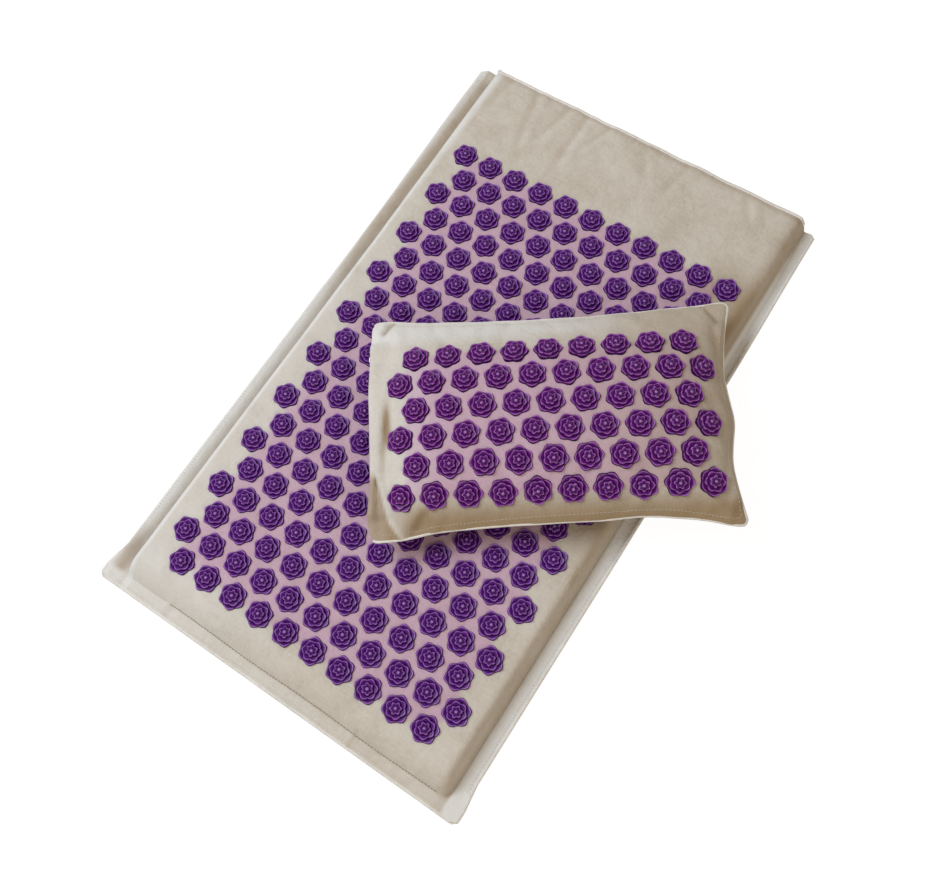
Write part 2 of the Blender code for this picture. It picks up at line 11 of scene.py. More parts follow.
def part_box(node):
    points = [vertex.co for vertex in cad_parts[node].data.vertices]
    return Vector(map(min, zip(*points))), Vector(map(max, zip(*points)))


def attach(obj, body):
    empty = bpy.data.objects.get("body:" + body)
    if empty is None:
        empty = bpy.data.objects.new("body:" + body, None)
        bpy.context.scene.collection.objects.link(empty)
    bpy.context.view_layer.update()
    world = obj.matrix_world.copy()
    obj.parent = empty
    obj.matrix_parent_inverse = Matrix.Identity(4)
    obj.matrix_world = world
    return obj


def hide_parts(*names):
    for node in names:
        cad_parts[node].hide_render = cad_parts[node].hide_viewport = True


print("loading the packed model")
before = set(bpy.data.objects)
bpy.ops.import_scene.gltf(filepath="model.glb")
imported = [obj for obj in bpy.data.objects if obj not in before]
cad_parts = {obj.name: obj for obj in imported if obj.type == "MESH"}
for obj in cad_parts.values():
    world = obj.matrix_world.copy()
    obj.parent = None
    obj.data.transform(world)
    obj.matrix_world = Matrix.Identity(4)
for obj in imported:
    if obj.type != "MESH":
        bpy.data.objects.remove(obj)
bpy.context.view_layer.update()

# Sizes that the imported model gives
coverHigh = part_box("mat_top_cover")[1]
coreLow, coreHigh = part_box("mat_core")
halfWidth = coverHigh.x
halfLength = coverHigh.y

# Cloth of the covers and of the inner bag, and the air between two pieces
cloth = {
    "thick": 0.001,
    "gap": 0.0003,
    "bagThick": 0.0005,
    "mergeWithin": 0.00005,
    "smoothDegrees": 60,
}
padTop = coreHigh.z + cloth["gap"] + cloth["thick"]
seamHeight = cloth["thick"] + cloth["gap"]

# Rays that look for a surface start well clear of the object
rays = {
    "fromAbove": 0.3,
    "fromBelow": -0.1,
}
downwards = Vector((0, 0, -1))
upwards = Vector((0, 0, 1))


def selectOnly(*items):
    bpy.ops.object.select_all(action='DESELECT')
    for item in items:
        item.select_set(True)
    if items:
        bpy.context.view_layer.objects.active = items[0]


def newPiece(name):
    piece = bpy.context.object
    piece.name = name
    piece.data.name = name
    return piece


def linkNew(name, data):
    item = bpy.data.objects.new(name, data)
    bpy.context.scene.collection.objects.link(item)
    return item


def bakePlace(piece):
    selectOnly(piece)
    bpy.ops.object.transform_apply(location=True, rotation=True, scale=True)


def startEdit(piece, mode='VERT', action='SELECT'):
    selectOnly(piece)
    bpy.ops.object.mode_set(mode='EDIT')
    bpy.ops.mesh.select_mode(type=mode)
    bpy.ops.mesh.select_all(action=action)


def endEdit():
    bpy.ops.object.mode_set(mode='OBJECT')


# Cuts right through the piece in edit mode, square to one axis
def cutAcross(axis, places):
    for place in places:
        bpy.ops.mesh.select_all(action='SELECT')
        bpy.ops.mesh.bisect(plane_co=axis * place, plane_no=axis)


def mergeDoubles(piece):
    startEdit(piece)
    bpy.ops.mesh.remove_doubles(threshold=cloth["mergeWithin"])
    endEdit()


def smoothBy(piece, degrees=cloth["smoothDegrees"]):
    selectOnly(piece)
    bpy.ops.object.shade_smooth_by_angle(angle=math.radians(degrees))


def finishPiece(piece, material, slotName, body, *nodes):
    piece.data.materials.clear()
    piece.data.materials.append(material)
    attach(piece, body)
    if nodes:
        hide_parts(*nodes)
    return piece


def addModifier(piece, kind, **settings):
    modifier = piece.modifiers.new(kind.lower(), kind)
    for key, value in settings.items():
        setattr(modifier, key, value)
    return modifier


def applyModifiers(piece):
    selectOnly(piece)
    for modifier in list(piece.modifiers):
        bpy.ops.object.modifier_apply(modifier=modifier.name)


def thickenCloth(piece, thick):
    addModifier(piece, 'SOLIDIFY', thickness=thick, offset=1)
    applyModifiers(piece)


def ease(value):
    value = np.clip(value, 0, 1)
    return value * value * (3 - 2 * value)


# Climbs softly from 0 at the start to 1 a run further on; with a negative run it falls
def ramp(value, start, run):
    return ease((value - start) / run)


# 1 at the middle and gone about two widths to either side
def ridge(value, middle, width):
    return np.exp(-((value - middle) / width) ** 2)


# Camera where the photographer stood
view = {
    "lens": 39.484,
    "sensor": 36.0,
    "clipStart": 0.01,
    "place": (0.28295, -0.28813, 1.00208),
    "right": (0.831, 0.5501, -0.083),
    "forward": (-0.2459, 0.2294, -0.9418),
}


def addCamera():
    right = Vector(view["right"]).normalized()
    forward = Vector(view["forward"]).normalized()
    up = right.cross(forward).normalized()
    forward = up.cross(right)
    lens = bpy.data.cameras.new("photoCamera")
    lens.lens = view["lens"]
    lens.sensor_width = view["sensor"]
    lens.clip_start = view["clipStart"]
    camera = linkNew("photoCamera", lens)
    turned = Matrix((right, up, -forward)).transposed().to_4x4()
    camera.matrix_world = Matrix.Translation(view["place"]) @ turned
    bpy.context.scene.camera = camera


# Shader maths: a Wire is one socket, and an expression on Wires adds its Math nodes
class Wire:
    def __init__(self, finish, socket):
        self.finish = finish
        self.socket = socket

    def sum(self, operation, first, second):
        return self.finish.node("Math", {"operation": operation}, {0: first, 1: second})

    def __add__(self, other):
        return self.sum('ADD', self, other)

    def __radd__(self, other):
        return self.sum('ADD', other, self)

    def __sub__(self, other):
        return self.sum('SUBTRACT', self, other)

    def __rsub__(self, other):
        return self.sum('SUBTRACT', other, self)

    def __mul__(self, other):
        return self.sum('MULTIPLY', self, other)

    def __rmul__(self, other):
        return self.sum('MULTIPLY', other, self)

    def __truediv__(self, other):
        return self.sum('DIVIDE', self, other)

    def __rtruediv__(self, other):
        return self.sum('DIVIDE', other, self)

    def __abs__(self):
        return self.sum('ABSOLUTE', self, 0.0)

    def least(self, other):
        return self.sum('MINIMUM', self, other)

    def most(self, other):
        return self.sum('MAXIMUM', self, other)

    def limited(self):
        return self.least(1.0).most(0.0)

    def wave(self):
        return self.sum('SINE', self, 0.0)


# The nodes of one tree, a material's or the world's
class Wiring:
    def __init__(self, tree):
        self.tree = tree

    def node(self, kind, settings=None, values=None, output=0):
        item = self.tree.nodes.new("ShaderNode" + kind)
        for key, value in (settings or {}).items():
            if key == "stops":
                stops = item.color_ramp.elements
                while len(stops) < len(value):
                    stops.new(0.5)
                for element, (place, colour) in zip(stops, value):
                    element.position = place
                    element.color = colour
            else:
                setattr(item, key, value)
        for key, value in (values or {}).items():
            if isinstance(value, Wire):
                self.tree.links.new(value.socket, item.inputs[key])
            else:
                item.inputs[key].default_value = value
        return None if output is None else Wire(self, item.outputs[output])

    def place(self, kind="Object"):
        return self.node("TexCoord", None, None, kind)

    def scaled(self, vector, factors):
        return self.node("VectorMath", {"operation": 'MULTIPLY'}, {0: vector, 1: factors})

    def split(self, vector):
        parts = self.node("SeparateXYZ", None, {0: vector})
        item = parts.socket.node
        return [Wire(self, item.outputs[k]) for k in range(3)]

    def grain(self, vector, scale, detail=2.0, roughness=0.5):
        return self.node("TexNoise", None, {"Vector": vector, "Scale": scale, "Detail": detail,
                                            "Roughness": roughness})

    def cells(self, vector, scale, feature='F1'):
        return self.node("TexVoronoi", {"feature": feature}, {"Vector": vector, "Scale": scale})

    def attribute(self, name):
        return self.node("Attribute", {"attribute_name": name}, None, 2)

    def mix(self, share, first, second, blend='MIX'):
        return self.node("Mix", {"data_type": 'RGBA', "blend_type": blend},
                         {0: share, 6: first, 7: second}, 2)

    def bump(self, height, distance, strength=1.0):
        return self.node("Bump", None, {"Height": height, "Distance": distance,
                                        "Strength": strength})


# One material: its Principled shader, with the sockets that stay the same all over
class Finish(Wiring):
    def __init__(self, name, **constants):
        self.material = bpy.data.materials.new(name)
        self.material.use_nodes = True
        super().__init__(self.material.node_tree)
        self.shader = self.tree.nodes["Principled BSDF"]
        for key, value in constants.items():
            self.shader.inputs[key.replace("_", " ")].default_value = value

    def send(self, name, wire):
        self.tree.links.new(wire.socket, self.shader.inputs[name])

    # Sends colour, relief and, where it varies, roughness, and gives the material
    def dress(self, colour, height, depth, strength, roughness=None):
        self.send("Base Color", colour)
        self.send("Normal", self.bump(height, depth, strength))
        if roughness is not None:
            self.send("Roughness", roughness)
        return self.material


def shade(red, green, blue):
    return (red, green, blue, 1.0)


linenLook = {
    "base": shade(0.655, 0.615, 0.57),
    "pale": shade(0.76, 0.735, 0.70),
    "dull": shade(0.56, 0.51, 0.45),
    "blush": shade(0.60, 0.360, 0.55),
    "shadow": shade(0.31, 0.205, 0.10),
    "paleHemAndPaintedLight": shade(0.79, 0.80, 0.815),
    "threadPitch": 0.0008,
    "weaveDepth": 0.00012,
    "crumpleDepth": 0.0024,
    "slubStretch": (45.0, 1500.0),
    "cloudScale": 20.0,
    "speckScale": 260.0,
    "crumpleScale": 60.0,
}


# Plain weave on the cloth's own map, whose units are metres
def addWeave(finish, vector, pitch):
    turns = 2 * math.pi / pitch
    along, across = finish.split(vector)[:2]
    warp = (across * turns).wave()
    weft = (along * turns).wave()
    over = ((across * (turns / 2)).wave() * (along * (turns / 2)).wave() * 4).limited()
    return (warp * over + weft * (1 - over)) * 0.5 + 0.5


# Three attributes say where the cloth gets painted bounce light from the discs, where it is paler,
# for a pale hem and with painted light, and where it gets painted shade
def makeLinen(name, tint):
    finish = Finish(name, Roughness=0.92, Sheen_Weight=0.12, Sheen_Roughness=0.5,
                    Specular_IOR_Level=0.12)
    cut = finish.place("UV")
    weave = addWeave(finish, cut, linenLook["threadPitch"])
    short, long = linenLook["slubStretch"]
    warpSlubs = finish.grain(finish.scaled(cut, (short, long, 1.0)), 1.0)
    weftSlubs = finish.grain(finish.scaled(cut, (long, short, 1.0)), 1.0)
    slubs = (warpSlubs + weftSlubs) * 0.5
    spot = finish.place()
    clouds = finish.grain(spot, linenLook["cloudScale"], 4.0, 0.66)
    specks = finish.grain(spot, linenLook["speckScale"], 3.0, 0.7)
    crumple = finish.grain(spot, linenLook["crumpleScale"], 4.0, 0.6)
    colour = finish.mix(((clouds - 0.40) * 4.0).limited(), linenLook["dull"], linenLook["base"])
    paleThreads = ((slubs + specks * 0.6 - 0.62) * 1.5).limited()
    colour = finish.mix(paleThreads, colour, linenLook["pale"])
    # Painted bounce light: the discs' violet on the cloth between them, mottled
    blush = finish.attribute("blush") * (specks * 0.9 + 0.26)
    colour = finish.mix(blush, colour, linenLook["blush"])
    # Pale hem bands, and painted light, from the pale attribute
    colour = finish.mix(finish.attribute("pale"), colour, linenLook["paleHemAndPaintedLight"])
    colour = finish.mix(finish.attribute("shade"), colour, linenLook["shadow"])
    colour = finish.mix(1.0, colour, tint, 'MULTIPLY')
    height = (weave * 0.6 + slubs * 0.5 + specks * 0.25) * linenLook["weaveDepth"]
    height = height + crumple * linenLook["crumpleDepth"]
    return finish.dress(colour, height, 1.0, 0.9)


# Disc plastic. The petals are drawn on a map that runs over each disc from above, with painted
# highlights on their rims, painted shade in the hollows and on the flank below the outline, and a
# painted glint at the centre; line, recess, parting and tip are shares of the disc's radius
petalLook = {
    "deep": shade(0.026, 0.0015, 0.062),
    "body": shade(0.100, 0.009, 0.205),
    "bodyDeep": shade(0.066, 0.004, 0.145),
    "rim": shade(0.52, 0.24, 0.78),
    "wearAndGlint": shade(0.62, 0.44, 0.76),
    "line": 0.062,
    "recess": 0.15,
    "parting": 0.13,
    "tip": 0.075,
    "patchScale": 170.0,
    "glintScale": 420.0,
    "grainScale": 900.0,
    "grainDepth": 0.00006,
}


def makeDiscPlastic(name, warmth):
    finish = Finish(name, Specular_IOR_Level=0.10, Coat_Weight=0.04, Coat_Roughness=0.15)
    across, along = finish.split(finish.place("UV"))[:2]
    across = (across - 0.5) * 2
    along = (along - 0.5) * 2
    radius = finish.node("Math", {"operation": 'SQRT'}, {0: across * across + along * along})
    angle = finish.node("Math", {"operation": 'ARCTAN2'}, {0: across, 1: along})
    for number, (tip, valley, turn) in enumerate(petalRims):
        step = angle * (disc["petals"] / math.pi) + turn
        reach = finish.node("Math", {"operation": 'PINGPONG'}, {0: step, 1: 1.0})
        outline = tip - (tip - valley) * (reach * reach * 0.5 + reach * 0.5)
        offset = radius - outline
        rim = (1 - abs(offset + petalLook["line"] * 0.8) / petalLook["line"]).limited()
        rim = rim * (1 - reach * 0.3)
        hollow = (1 - offset.most(0.0) / petalLook["recess"]).limited()
        hollow = hollow * ((offset + 0.015) * 50).limited()
        parting = (1 - abs(reach - 1) / petalLook["parting"]).limited()
        parting = parting * ((offset + 0.17) * 12).limited() * (1 - offset * 20).limited()
        hollow = hollow.most(parting * 0.85)
        if number == 0:
            border = (offset * 30 + 0.5).limited()  # the flank below the outline
            rims, hollows = rim, hollow
        else:
            rims = rims.most(rim)
            hollows = hollows.most(hollow)
    spot = finish.place()
    patches = finish.grain(spot, petalLook["patchScale"], 2.0)
    glintSpots = finish.grain(spot, petalLook["glintScale"], 2.0)
    # Painted highlights along the rims, broken into glints
    rims = rims * (glintSpots * 2.6 - 0.35).limited()
    colour = finish.mix((patches * 2 - 0.5).limited(), petalLook["body"], petalLook["bodyDeep"])
    colour = finish.mix(rims * 0.85, colour, petalLook["rim"])
    # Painted shade in the hollows between petals, and below the outline
    colour = finish.mix(hollows * 0.95, colour, petalLook["deep"])
    colour = finish.mix(border, colour, petalLook["deep"])
    colour = finish.mix(1.0, colour, warmth, 'MULTIPLY')
    # A painted glint at the spike's tip
    tip = (1 - radius / petalLook["tip"]).limited() * 0.8
    colour = finish.mix(tip, colour, petalLook["wearAndGlint"])
    grain = finish.grain(spot, petalLook["grainScale"], 2.0)
    return finish.dress(colour, grain, petalLook["grainDepth"], 0.5, 0.24 + patches * 0.16)


threadLook = {
    "twistScale": 900.0,
    "fuzzScale": 1400.0,
    "depth": 0.0001,
}


def makeThread(name, colour, dark):
    finish = Finish(name, Roughness=0.8, Sheen_Weight=0.2)
    spot = finish.place()
    twist = finish.node("TexWave", {"wave_type": 'BANDS', "bands_direction": 'DIAGONAL'},
                        {"Vector": spot, "Scale": threadLook["twistScale"], "Distortion": 1.0})
    fuzz = finish.grain(spot, threadLook["fuzzScale"], 2.0)
    colour = finish.mix(twist * 0.6 + fuzz * 0.3, dark, colour)
    return finish.dress(colour, twist, threadLook["depth"], 0.8)


foamLook = {
    "pore": shade(0.60, 0.55, 0.42),
    "skin": shade(0.84, 0.81, 0.70),
    "aged": shade(0.88, 0.84, 0.66),
    "poreScale": 520.0,
    "poreDepth": 0.0004,
}


def makeFoam(name):
    finish = Finish(name, Roughness=0.95, Specular_IOR_Level=0.2)
    spot = finish.place()
    pores = finish.cells(spot, foamLook["poreScale"])
    clouds = finish.grain(spot, 20.0, 3.0)
    colour = finish.mix((pores * 1.6).limited(), foamLook["pore"], foamLook["skin"])
    colour = finish.mix(clouds * 0.3, colour, foamLook["aged"])
    return finish.dress(colour, pores, foamLook["poreDepth"], 0.8)


calicoLook = {
    "dull": shade(0.74, 0.70, 0.61),
    "pale": shade(0.86, 0.83, 0.76),
    "threadPitch": 0.0006,
    "weaveDepth": 0.00008,
}


def makeCalico(name):
    finish = Finish(name, Roughness=0.9, Sheen_Weight=0.15)
    cut = finish.place("UV")
    weave = addWeave(finish, cut, calicoLook["threadPitch"])
    flecks = finish.grain(finish.scaled(cut, (60.0, 900.0, 1.0)), 1.0, 3.0)
    colour = finish.mix(flecks, calicoLook["dull"], calicoLook["pale"])
    return finish.dress(colour, weave + flecks * 0.5, calicoLook["weaveDepth"], 0.9)


huskLook = {
    "dark": shade(0.055, 0.03, 0.018),
    "light": shade(0.24, 0.14, 0.08),
    "between": shade(0.02, 0.012, 0.008),
    "hullScale": 190.0,
    "hullDepth": 0.0016,
}


def makeHusks(name):
    finish = Finish(name, Specular_IOR_Level=0.4)
    hulls = finish.cells(finish.place(), huskLook["hullScale"])
    tint = Wire(finish, hulls.socket.node.outputs["Color"])
    tone = finish.split(tint)[0]
    colour = finish.mix(tone, huskLook["dark"], huskLook["light"])
    # Painted shade between the husks
    colour = finish.mix((hulls * 1.4).limited() * 0.6, colour, huskLook["between"])
    return finish.dress(colour, 1 - hulls, huskLook["hullDepth"], 0.9, 0.5 + tone * 0.35)


zipLook = {
    "tapeDull": shade(0.60, 0.55, 0.46),
    "tapePale": shade(0.80, 0.76, 0.68),
    "tapeStretch": (700.0, 700.0, 2600.0),
    "tapeDepth": 0.00012,
    "nylonDull": shade(0.70, 0.65, 0.55),
    "nylonPale": shade(0.85, 0.82, 0.74),
    "nylonDepth": 0.00004,
    "nickel": shade(0.66, 0.65, 0.62),
    "nickelWorn": shade(0.46, 0.44, 0.40),
    "brushStretch": (300.0, 300.0, 5200.0),
    "brushDepth": 0.00003,
}


def makeZipTape(name):
    finish = Finish(name, Roughness=0.85, Sheen_Weight=0.2)
    spot = finish.place()
    ribs = finish.grain(finish.scaled(spot, zipLook["tapeStretch"]), 1.0, 2.0)
    rows = finish.node("TexWave", {"bands_direction": 'Z'},
                       {"Vector": spot, "Scale": 500.0, "Distortion": 0.6})
    colour = finish.mix(ribs * 0.7 + rows * 0.3, zipLook["tapeDull"], zipLook["tapePale"])
    return finish.dress(colour, rows + ribs, zipLook["tapeDepth"], 0.9)


def makeNylon(name):
    finish = Finish(name, Specular_IOR_Level=0.5)
    spot = finish.place()
    tone = finish.grain(spot, 240.0, 2.0)
    colour = finish.mix(tone, zipLook["nylonDull"], zipLook["nylonPale"])
    grain = finish.grain(spot, 2500.0, 1.0)
    return finish.dress(colour, grain, zipLook["nylonDepth"], 0.6, 0.34 + tone * 0.2)


def makeNickel(name):
    finish = Finish(name, Metallic=1.0)
    spot = finish.place()
    brushed = finish.grain(finish.scaled(spot, zipLook["brushStretch"]), 1.0, 3.0)
    wearAndGlint = finish.grain(spot, 420.0, 4.0, 0.65)
    colour = finish.mix(((wearAndGlint - 0.45) * 3).limited(), zipLook["nickel"], zipLook["nickelWorn"])
    roughness = 0.22 + wearAndGlint * 0.25 + brushed * 0.08
    return finish.dress(colour, brushed, zipLook["brushDepth"], 0.5, roughness)


# Spike disc: lengths, shares of its radius, and angles
disc = {
    "diameter": 0.0298,
    "spacing": 0.0032,
    "height": 0.006,
    "petals": 6,
    "sink": 0.0005,
    "turnSpread": math.radians(30),
    "foot": (1.0, 0.86),
    "shoulder": 0.946,
    "shoulderTurn": math.radians(13.5),
    "rimLean": 0.94,
    "rimTipShare": 0.7,
    "seatReach": 0.7,
    "seatPoints": 8,
    "seatSettle": 0.5,
    "smoothDegrees": 28,
    "matSeed": 4,
    "pillowSeed": 9,
}
# The disc's rings from the foot up: whether a ring is turned by half a petal, then for its
# tips and for its valleys the share of the disc's radius and the share of its height
discRings = [
    (0, (0.94, 0.40), (0.80, 0.28)),    # outer rim
    (0, (0.71, 0.25), (0.74, 0.20)),    # outer scoop
    (1, (0.71, 0.67), (0.575, 0.50)),   # middle rim
    (1, (0.45, 0.47), (0.46, 0.43)),    # middle scoop
    (0, (0.43, 0.87), (0.29, 0.70)),    # inner rim
]
# The rims that the plastic's material draws as painted highlights: tip, valley, half petals of turn
petalRims = [(0.94, 0.80, 0.0), (0.71, 0.59, 1.0), (0.43, 0.30, 0.0), (0.12, 0.12, 0.0)]
discRadius = disc["diameter"] / 2
discPitch = disc["diameter"] + disc["spacing"]
rowPitch = discPitch * math.sqrt(3) / 2


def selectThese(shell, points):
    bpy.ops.mesh.select_all(action='DESELECT')
    for vertex in points:
        vertex.select = True
    shell.select_flush_mode()


# Steps of half a petal round the disc: tips are even, valleys odd, shoulders lie between
def petalStep(vertex):
    return math.atan2(vertex.co.x, vertex.co.y) / math.pi * disc["petals"]


def isShoulder(vertex):
    return abs(petalStep(vertex) - round(petalStep(vertex))) > 0.05  # a twentieth of a step


# The selected ring: every other point goes to its radius and height
def shapeRing(piece, turned, tip, valley):
    shell = bmesh.from_edit_mesh(piece.data)
    ring = [vertex for vertex in shell.verts if vertex.select]
    for parity, (radius, height) in ((turned, tip), (1 - turned, valley)):
        moved = [vertex for vertex in ring
                 if round(petalStep(vertex)) % 2 == parity and not isShoulder(vertex)]
        selectThese(shell, moved)
        share = radius * discRadius / moved[0].co.xy.length
        rise = height * disc["height"] - moved[0].co.z
        bpy.ops.transform.resize(value=(share, share, 1), center_override=(0, 0, 0))
        bpy.ops.transform.translate(value=(0, 0, rise))
    selectThese(shell, ring)


# The outline's petals bulge, with a shoulder at each side of a tip
def addShoulders(piece):
    shell = bmesh.from_edit_mesh(piece.data)
    share = disc["shoulderTurn"] * disc["petals"] / math.pi
    for edge in list(shell.edges):
        tip = max(edge.verts, key=lambda vertex: vertex.co.xy.length)
        bmesh.utils.edge_split(edge, tip, share)
    for vertex in shell.verts:
        vertex.select = True
        if isShoulder(vertex):
            vertex.co.xy *= disc["shoulder"] * discRadius / vertex.co.xy.length
    bmesh.update_edit_mesh(piece.data)


# Inside the rim the shoulders run into their tips
def gatherShoulders(piece):
    shell = bmesh.from_edit_mesh(piece.data)
    ring = [vertex for vertex in shell.verts if vertex.select]
    tips = [vertex for vertex in ring
            if not isShoulder(vertex) and round(petalStep(vertex)) % 2 == 0]
    targets = {vertex: min(tips, key=lambda tip, spot=vertex: (tip.co - spot.co).length)
               for vertex in ring if isShoulder(vertex)}
    bmesh.ops.weld_verts(shell, targetmap=targets)
    bmesh.update_edit_mesh(piece.data)


# The rim over the outline leans in a little, and its shoulders climb towards the tips
def leanRim(piece, tip, valley):
    shell = bmesh.from_edit_mesh(piece.data)
    ring = [vertex for vertex in shell.verts if vertex.select]
    selectThese(shell, [vertex for vertex in ring if isShoulder(vertex)])
    lean = disc["rimLean"]
    share = disc["rimTipShare"]
    rise = (tip[1] * share + valley[1] * (1 - share)) * disc["height"] + disc["sink"]
    bpy.ops.transform.resize(value=(lean, lean, 1), center_override=(0, 0, 0))
    bpy.ops.transform.translate(value=(0, 0, rise))
    selectThese(shell, ring)


def modelDisc():
    selectOnly()
    bpy.ops.mesh.primitive_circle_add(vertices=2 * disc["petals"], radius=discRadius,
                                      fill_type='NGON')
    piece = newPiece("discMaster")
    startEdit(piece)
    sunk = -disc["sink"] / disc["height"]
    shapeRing(piece, 0, (disc["foot"][0], sunk), (disc["foot"][1], sunk))
    addShoulders(piece)
    for number, (turned, tip, valley) in enumerate(discRings):
        bpy.ops.mesh.extrude_region_move()
        if number == 0:
            leanRim(piece, tip, valley)
        if number == 1:
            gatherShoulders(piece)
        shapeRing(piece, turned, tip, valley)
    bpy.ops.mesh.select_mode(type='FACE')
    bpy.ops.mesh.poke()
    bpy.ops.mesh.select_mode(type='VERT')
    shell = bmesh.from_edit_mesh(piece.data)
    point = min(shell.verts, key=lambda vertex: vertex.co.xy.length)
    selectThese(shell, [point])
    bpy.ops.transform.translate(value=(0, 0, disc["height"] - point.co.z))
    endEdit()
    layer = piece.data.uv_layers.active or piece.data.uv_layers.new(name="UVMap")
    for loop in piece.data.loops:
        spot = piece.data.vertices[loop.vertex_index].co / disc["diameter"]
        layer.data[loop.index].uv = (spot.x + 0.5, spot.y + 0.5)
    return piece


# Copies of one mesh at many places, joined as one piece
def repeatPiece(name, master, places):
    corners = np.array([vertex.co for vertex in master.data.vertices])
    faces = [tuple(polygon.vertices) for polygon in master.data.polygons]
    points = []
    polygons = []
    for number, place in enumerate(places):
        turn = np.array(place.to_3x3())
        points.append(corners @ turn.T + np.array(place.translation))
        start = number * len(corners)
        polygons += [[start + index for index in face] for face in faces]
    mesh = bpy.data.meshes.new(name)
    mesh.from_pydata(np.concatenate(points).tolist(), [], polygons)
    if master.data.uv_layers:
        layer = mesh.uv_layers.new(name="UVMap")
        one = [tuple(item.uv) for item in master.data.uv_layers.active.data]
        layer.data.foreach_set("uv", np.tile(np.array(one).ravel(), len(places)))
    return linkNew(name, mesh)


def surfaceOf(*pieces):
    shell = bmesh.new()
    graph = bpy.context.evaluated_depsgraph_get()
    for piece in pieces:
        shell.from_object(piece, graph)
    tree = BVHTree.FromBMesh(shell)
    shell.free()
    return tree


# A disc's seat: the plane through points of the cloth under its foot
def seatOn(tree, spot, turn):
    reach = discRadius * disc["seatReach"]
    top = Vector((spot[0], spot[1], rays["fromAbove"]))
    hits = []
    for step in range(disc["seatPoints"]):
        angle = step / disc["seatPoints"] * 2 * math.pi
        start = top + Vector((math.cos(angle) * reach, math.sin(angle) * reach, 0))
        hit = tree.ray_cast(start, downwards)[0]
        if hit is not None:
            hits.append(hit)
    middle = tree.ray_cast(top, downwards)[0]
    normal = Vector((0, 0, 0))
    for first, second in zip(hits, hits[1:] + hits[:1]):
        normal += (first - middle).cross(second - middle)
    normal.normalize()
    level = sum((hit - middle).dot(normal) for hit in hits) / len(hits)
    lean = upwards.rotation_difference(normal).to_matrix().to_4x4()
    seat = middle + normal * level * disc["seatSettle"]
    return Matrix.Translation(seat) @ lean @ Matrix.Rotation(turn, 4, 'Z')


# Every other row is one disc shorter and lies half a pitch over
def staggeredRows(rows, longRow, longFirst):
    for row in range(rows):
        isLong = (row % 2 == 0) == longFirst
        count = longRow if isLong else longRow - 1
        yield row, [column - (count - 1) / 2 for column in range(count)]


def spotsOf(mesh):
    spots = np.empty(len(mesh.vertices) * 3)
    mesh.vertices.foreach_get("co", spots)
    return spots.reshape(-1, 3)


def moveTo(mesh, spots):
    mesh.vertices.foreach_set("co", spots.ravel())
    mesh.update()


# Distance walked along a line of points, from its start
def runAlong(line):
    return np.concatenate([[0], np.cumsum(np.linalg.norm(np.diff(line, axis=0), axis=1))])


# A cloth laid out on stations across and along, with its own map in metres
def layCloth(name, across, along, place, faceUp=True):
    selectOnly()
    bpy.ops.mesh.primitive_grid_add(x_subdivisions=across - 1, y_subdivisions=along - 1, size=2)
    piece = newPiece(name)
    mesh = piece.data
    spots = spotsOf(mesh)
    column = np.rint((spots[:, 0] + 1) / 2 * (across - 1)).astype(int)
    row = np.rint((spots[:, 1] + 1) / 2 * (along - 1)).astype(int)
    laid = place(column, row)
    moveTo(mesh, laid)
    grid = np.zeros((across, along, 3))
    grid[column, row] = laid
    acrossRun = runAlong(grid[:, along // 2])
    alongRun = runAlong(grid[across // 2])
    owner = np.empty(len(mesh.loops), dtype=int)
    mesh.loops.foreach_get("vertex_index", owner)
    cut = np.stack([acrossRun[column[owner]], alongRun[row[owner]]], axis=1)
    mesh.uv_layers.active.data.foreach_set("uv", cut.ravel())
    if not faceUp:
        mesh.flip_normals()
    mesh.update()
    return piece, grid


def pointAttributes(piece, **attributes):
    for name, values in attributes.items():
        layer = piece.data.attributes.new(name, 'FLOAT', 'POINT')
        layer.data.foreach_set("value", np.asarray(values, dtype=np.float32))


def bumps(x, y, scale, seed):
    return np.array([noise.noise(Vector((a * scale, b * scale, seed))) for a, b in zip(x, y)])


# A fold is a soft ridge with a trough along one side: start, end, width, height
foldForm = {
    "startFade": 4.0,
    "endFade": 1.6,
    "overrun": 0.15,
    "troughDepth": 0.6,
    "troughAway": 1.5,
}


def foldRelief(x, y, folds):
    total = np.zeros(len(x))
    for (startX, startY), (endX, endY), width, height in folds:
        runX, runY = endX - startX, endY - startY
        length = math.hypot(runX, runY)
        share = ((x - startX) * runX + (y - startY) * runY) / length ** 2
        side = ((x - startX) * runY - (y - startY) * runX) / length
        fade = ease(share * foldForm["startFade"] + 1)
        fade *= ease((1 + foldForm["overrun"] - share) * foldForm["endFade"])
        trough = ridge(side, foldForm["troughAway"] * width, width)
        total += height * fade * (ridge(side, 0, width) - foldForm["troughDepth"] * trough)
    return total


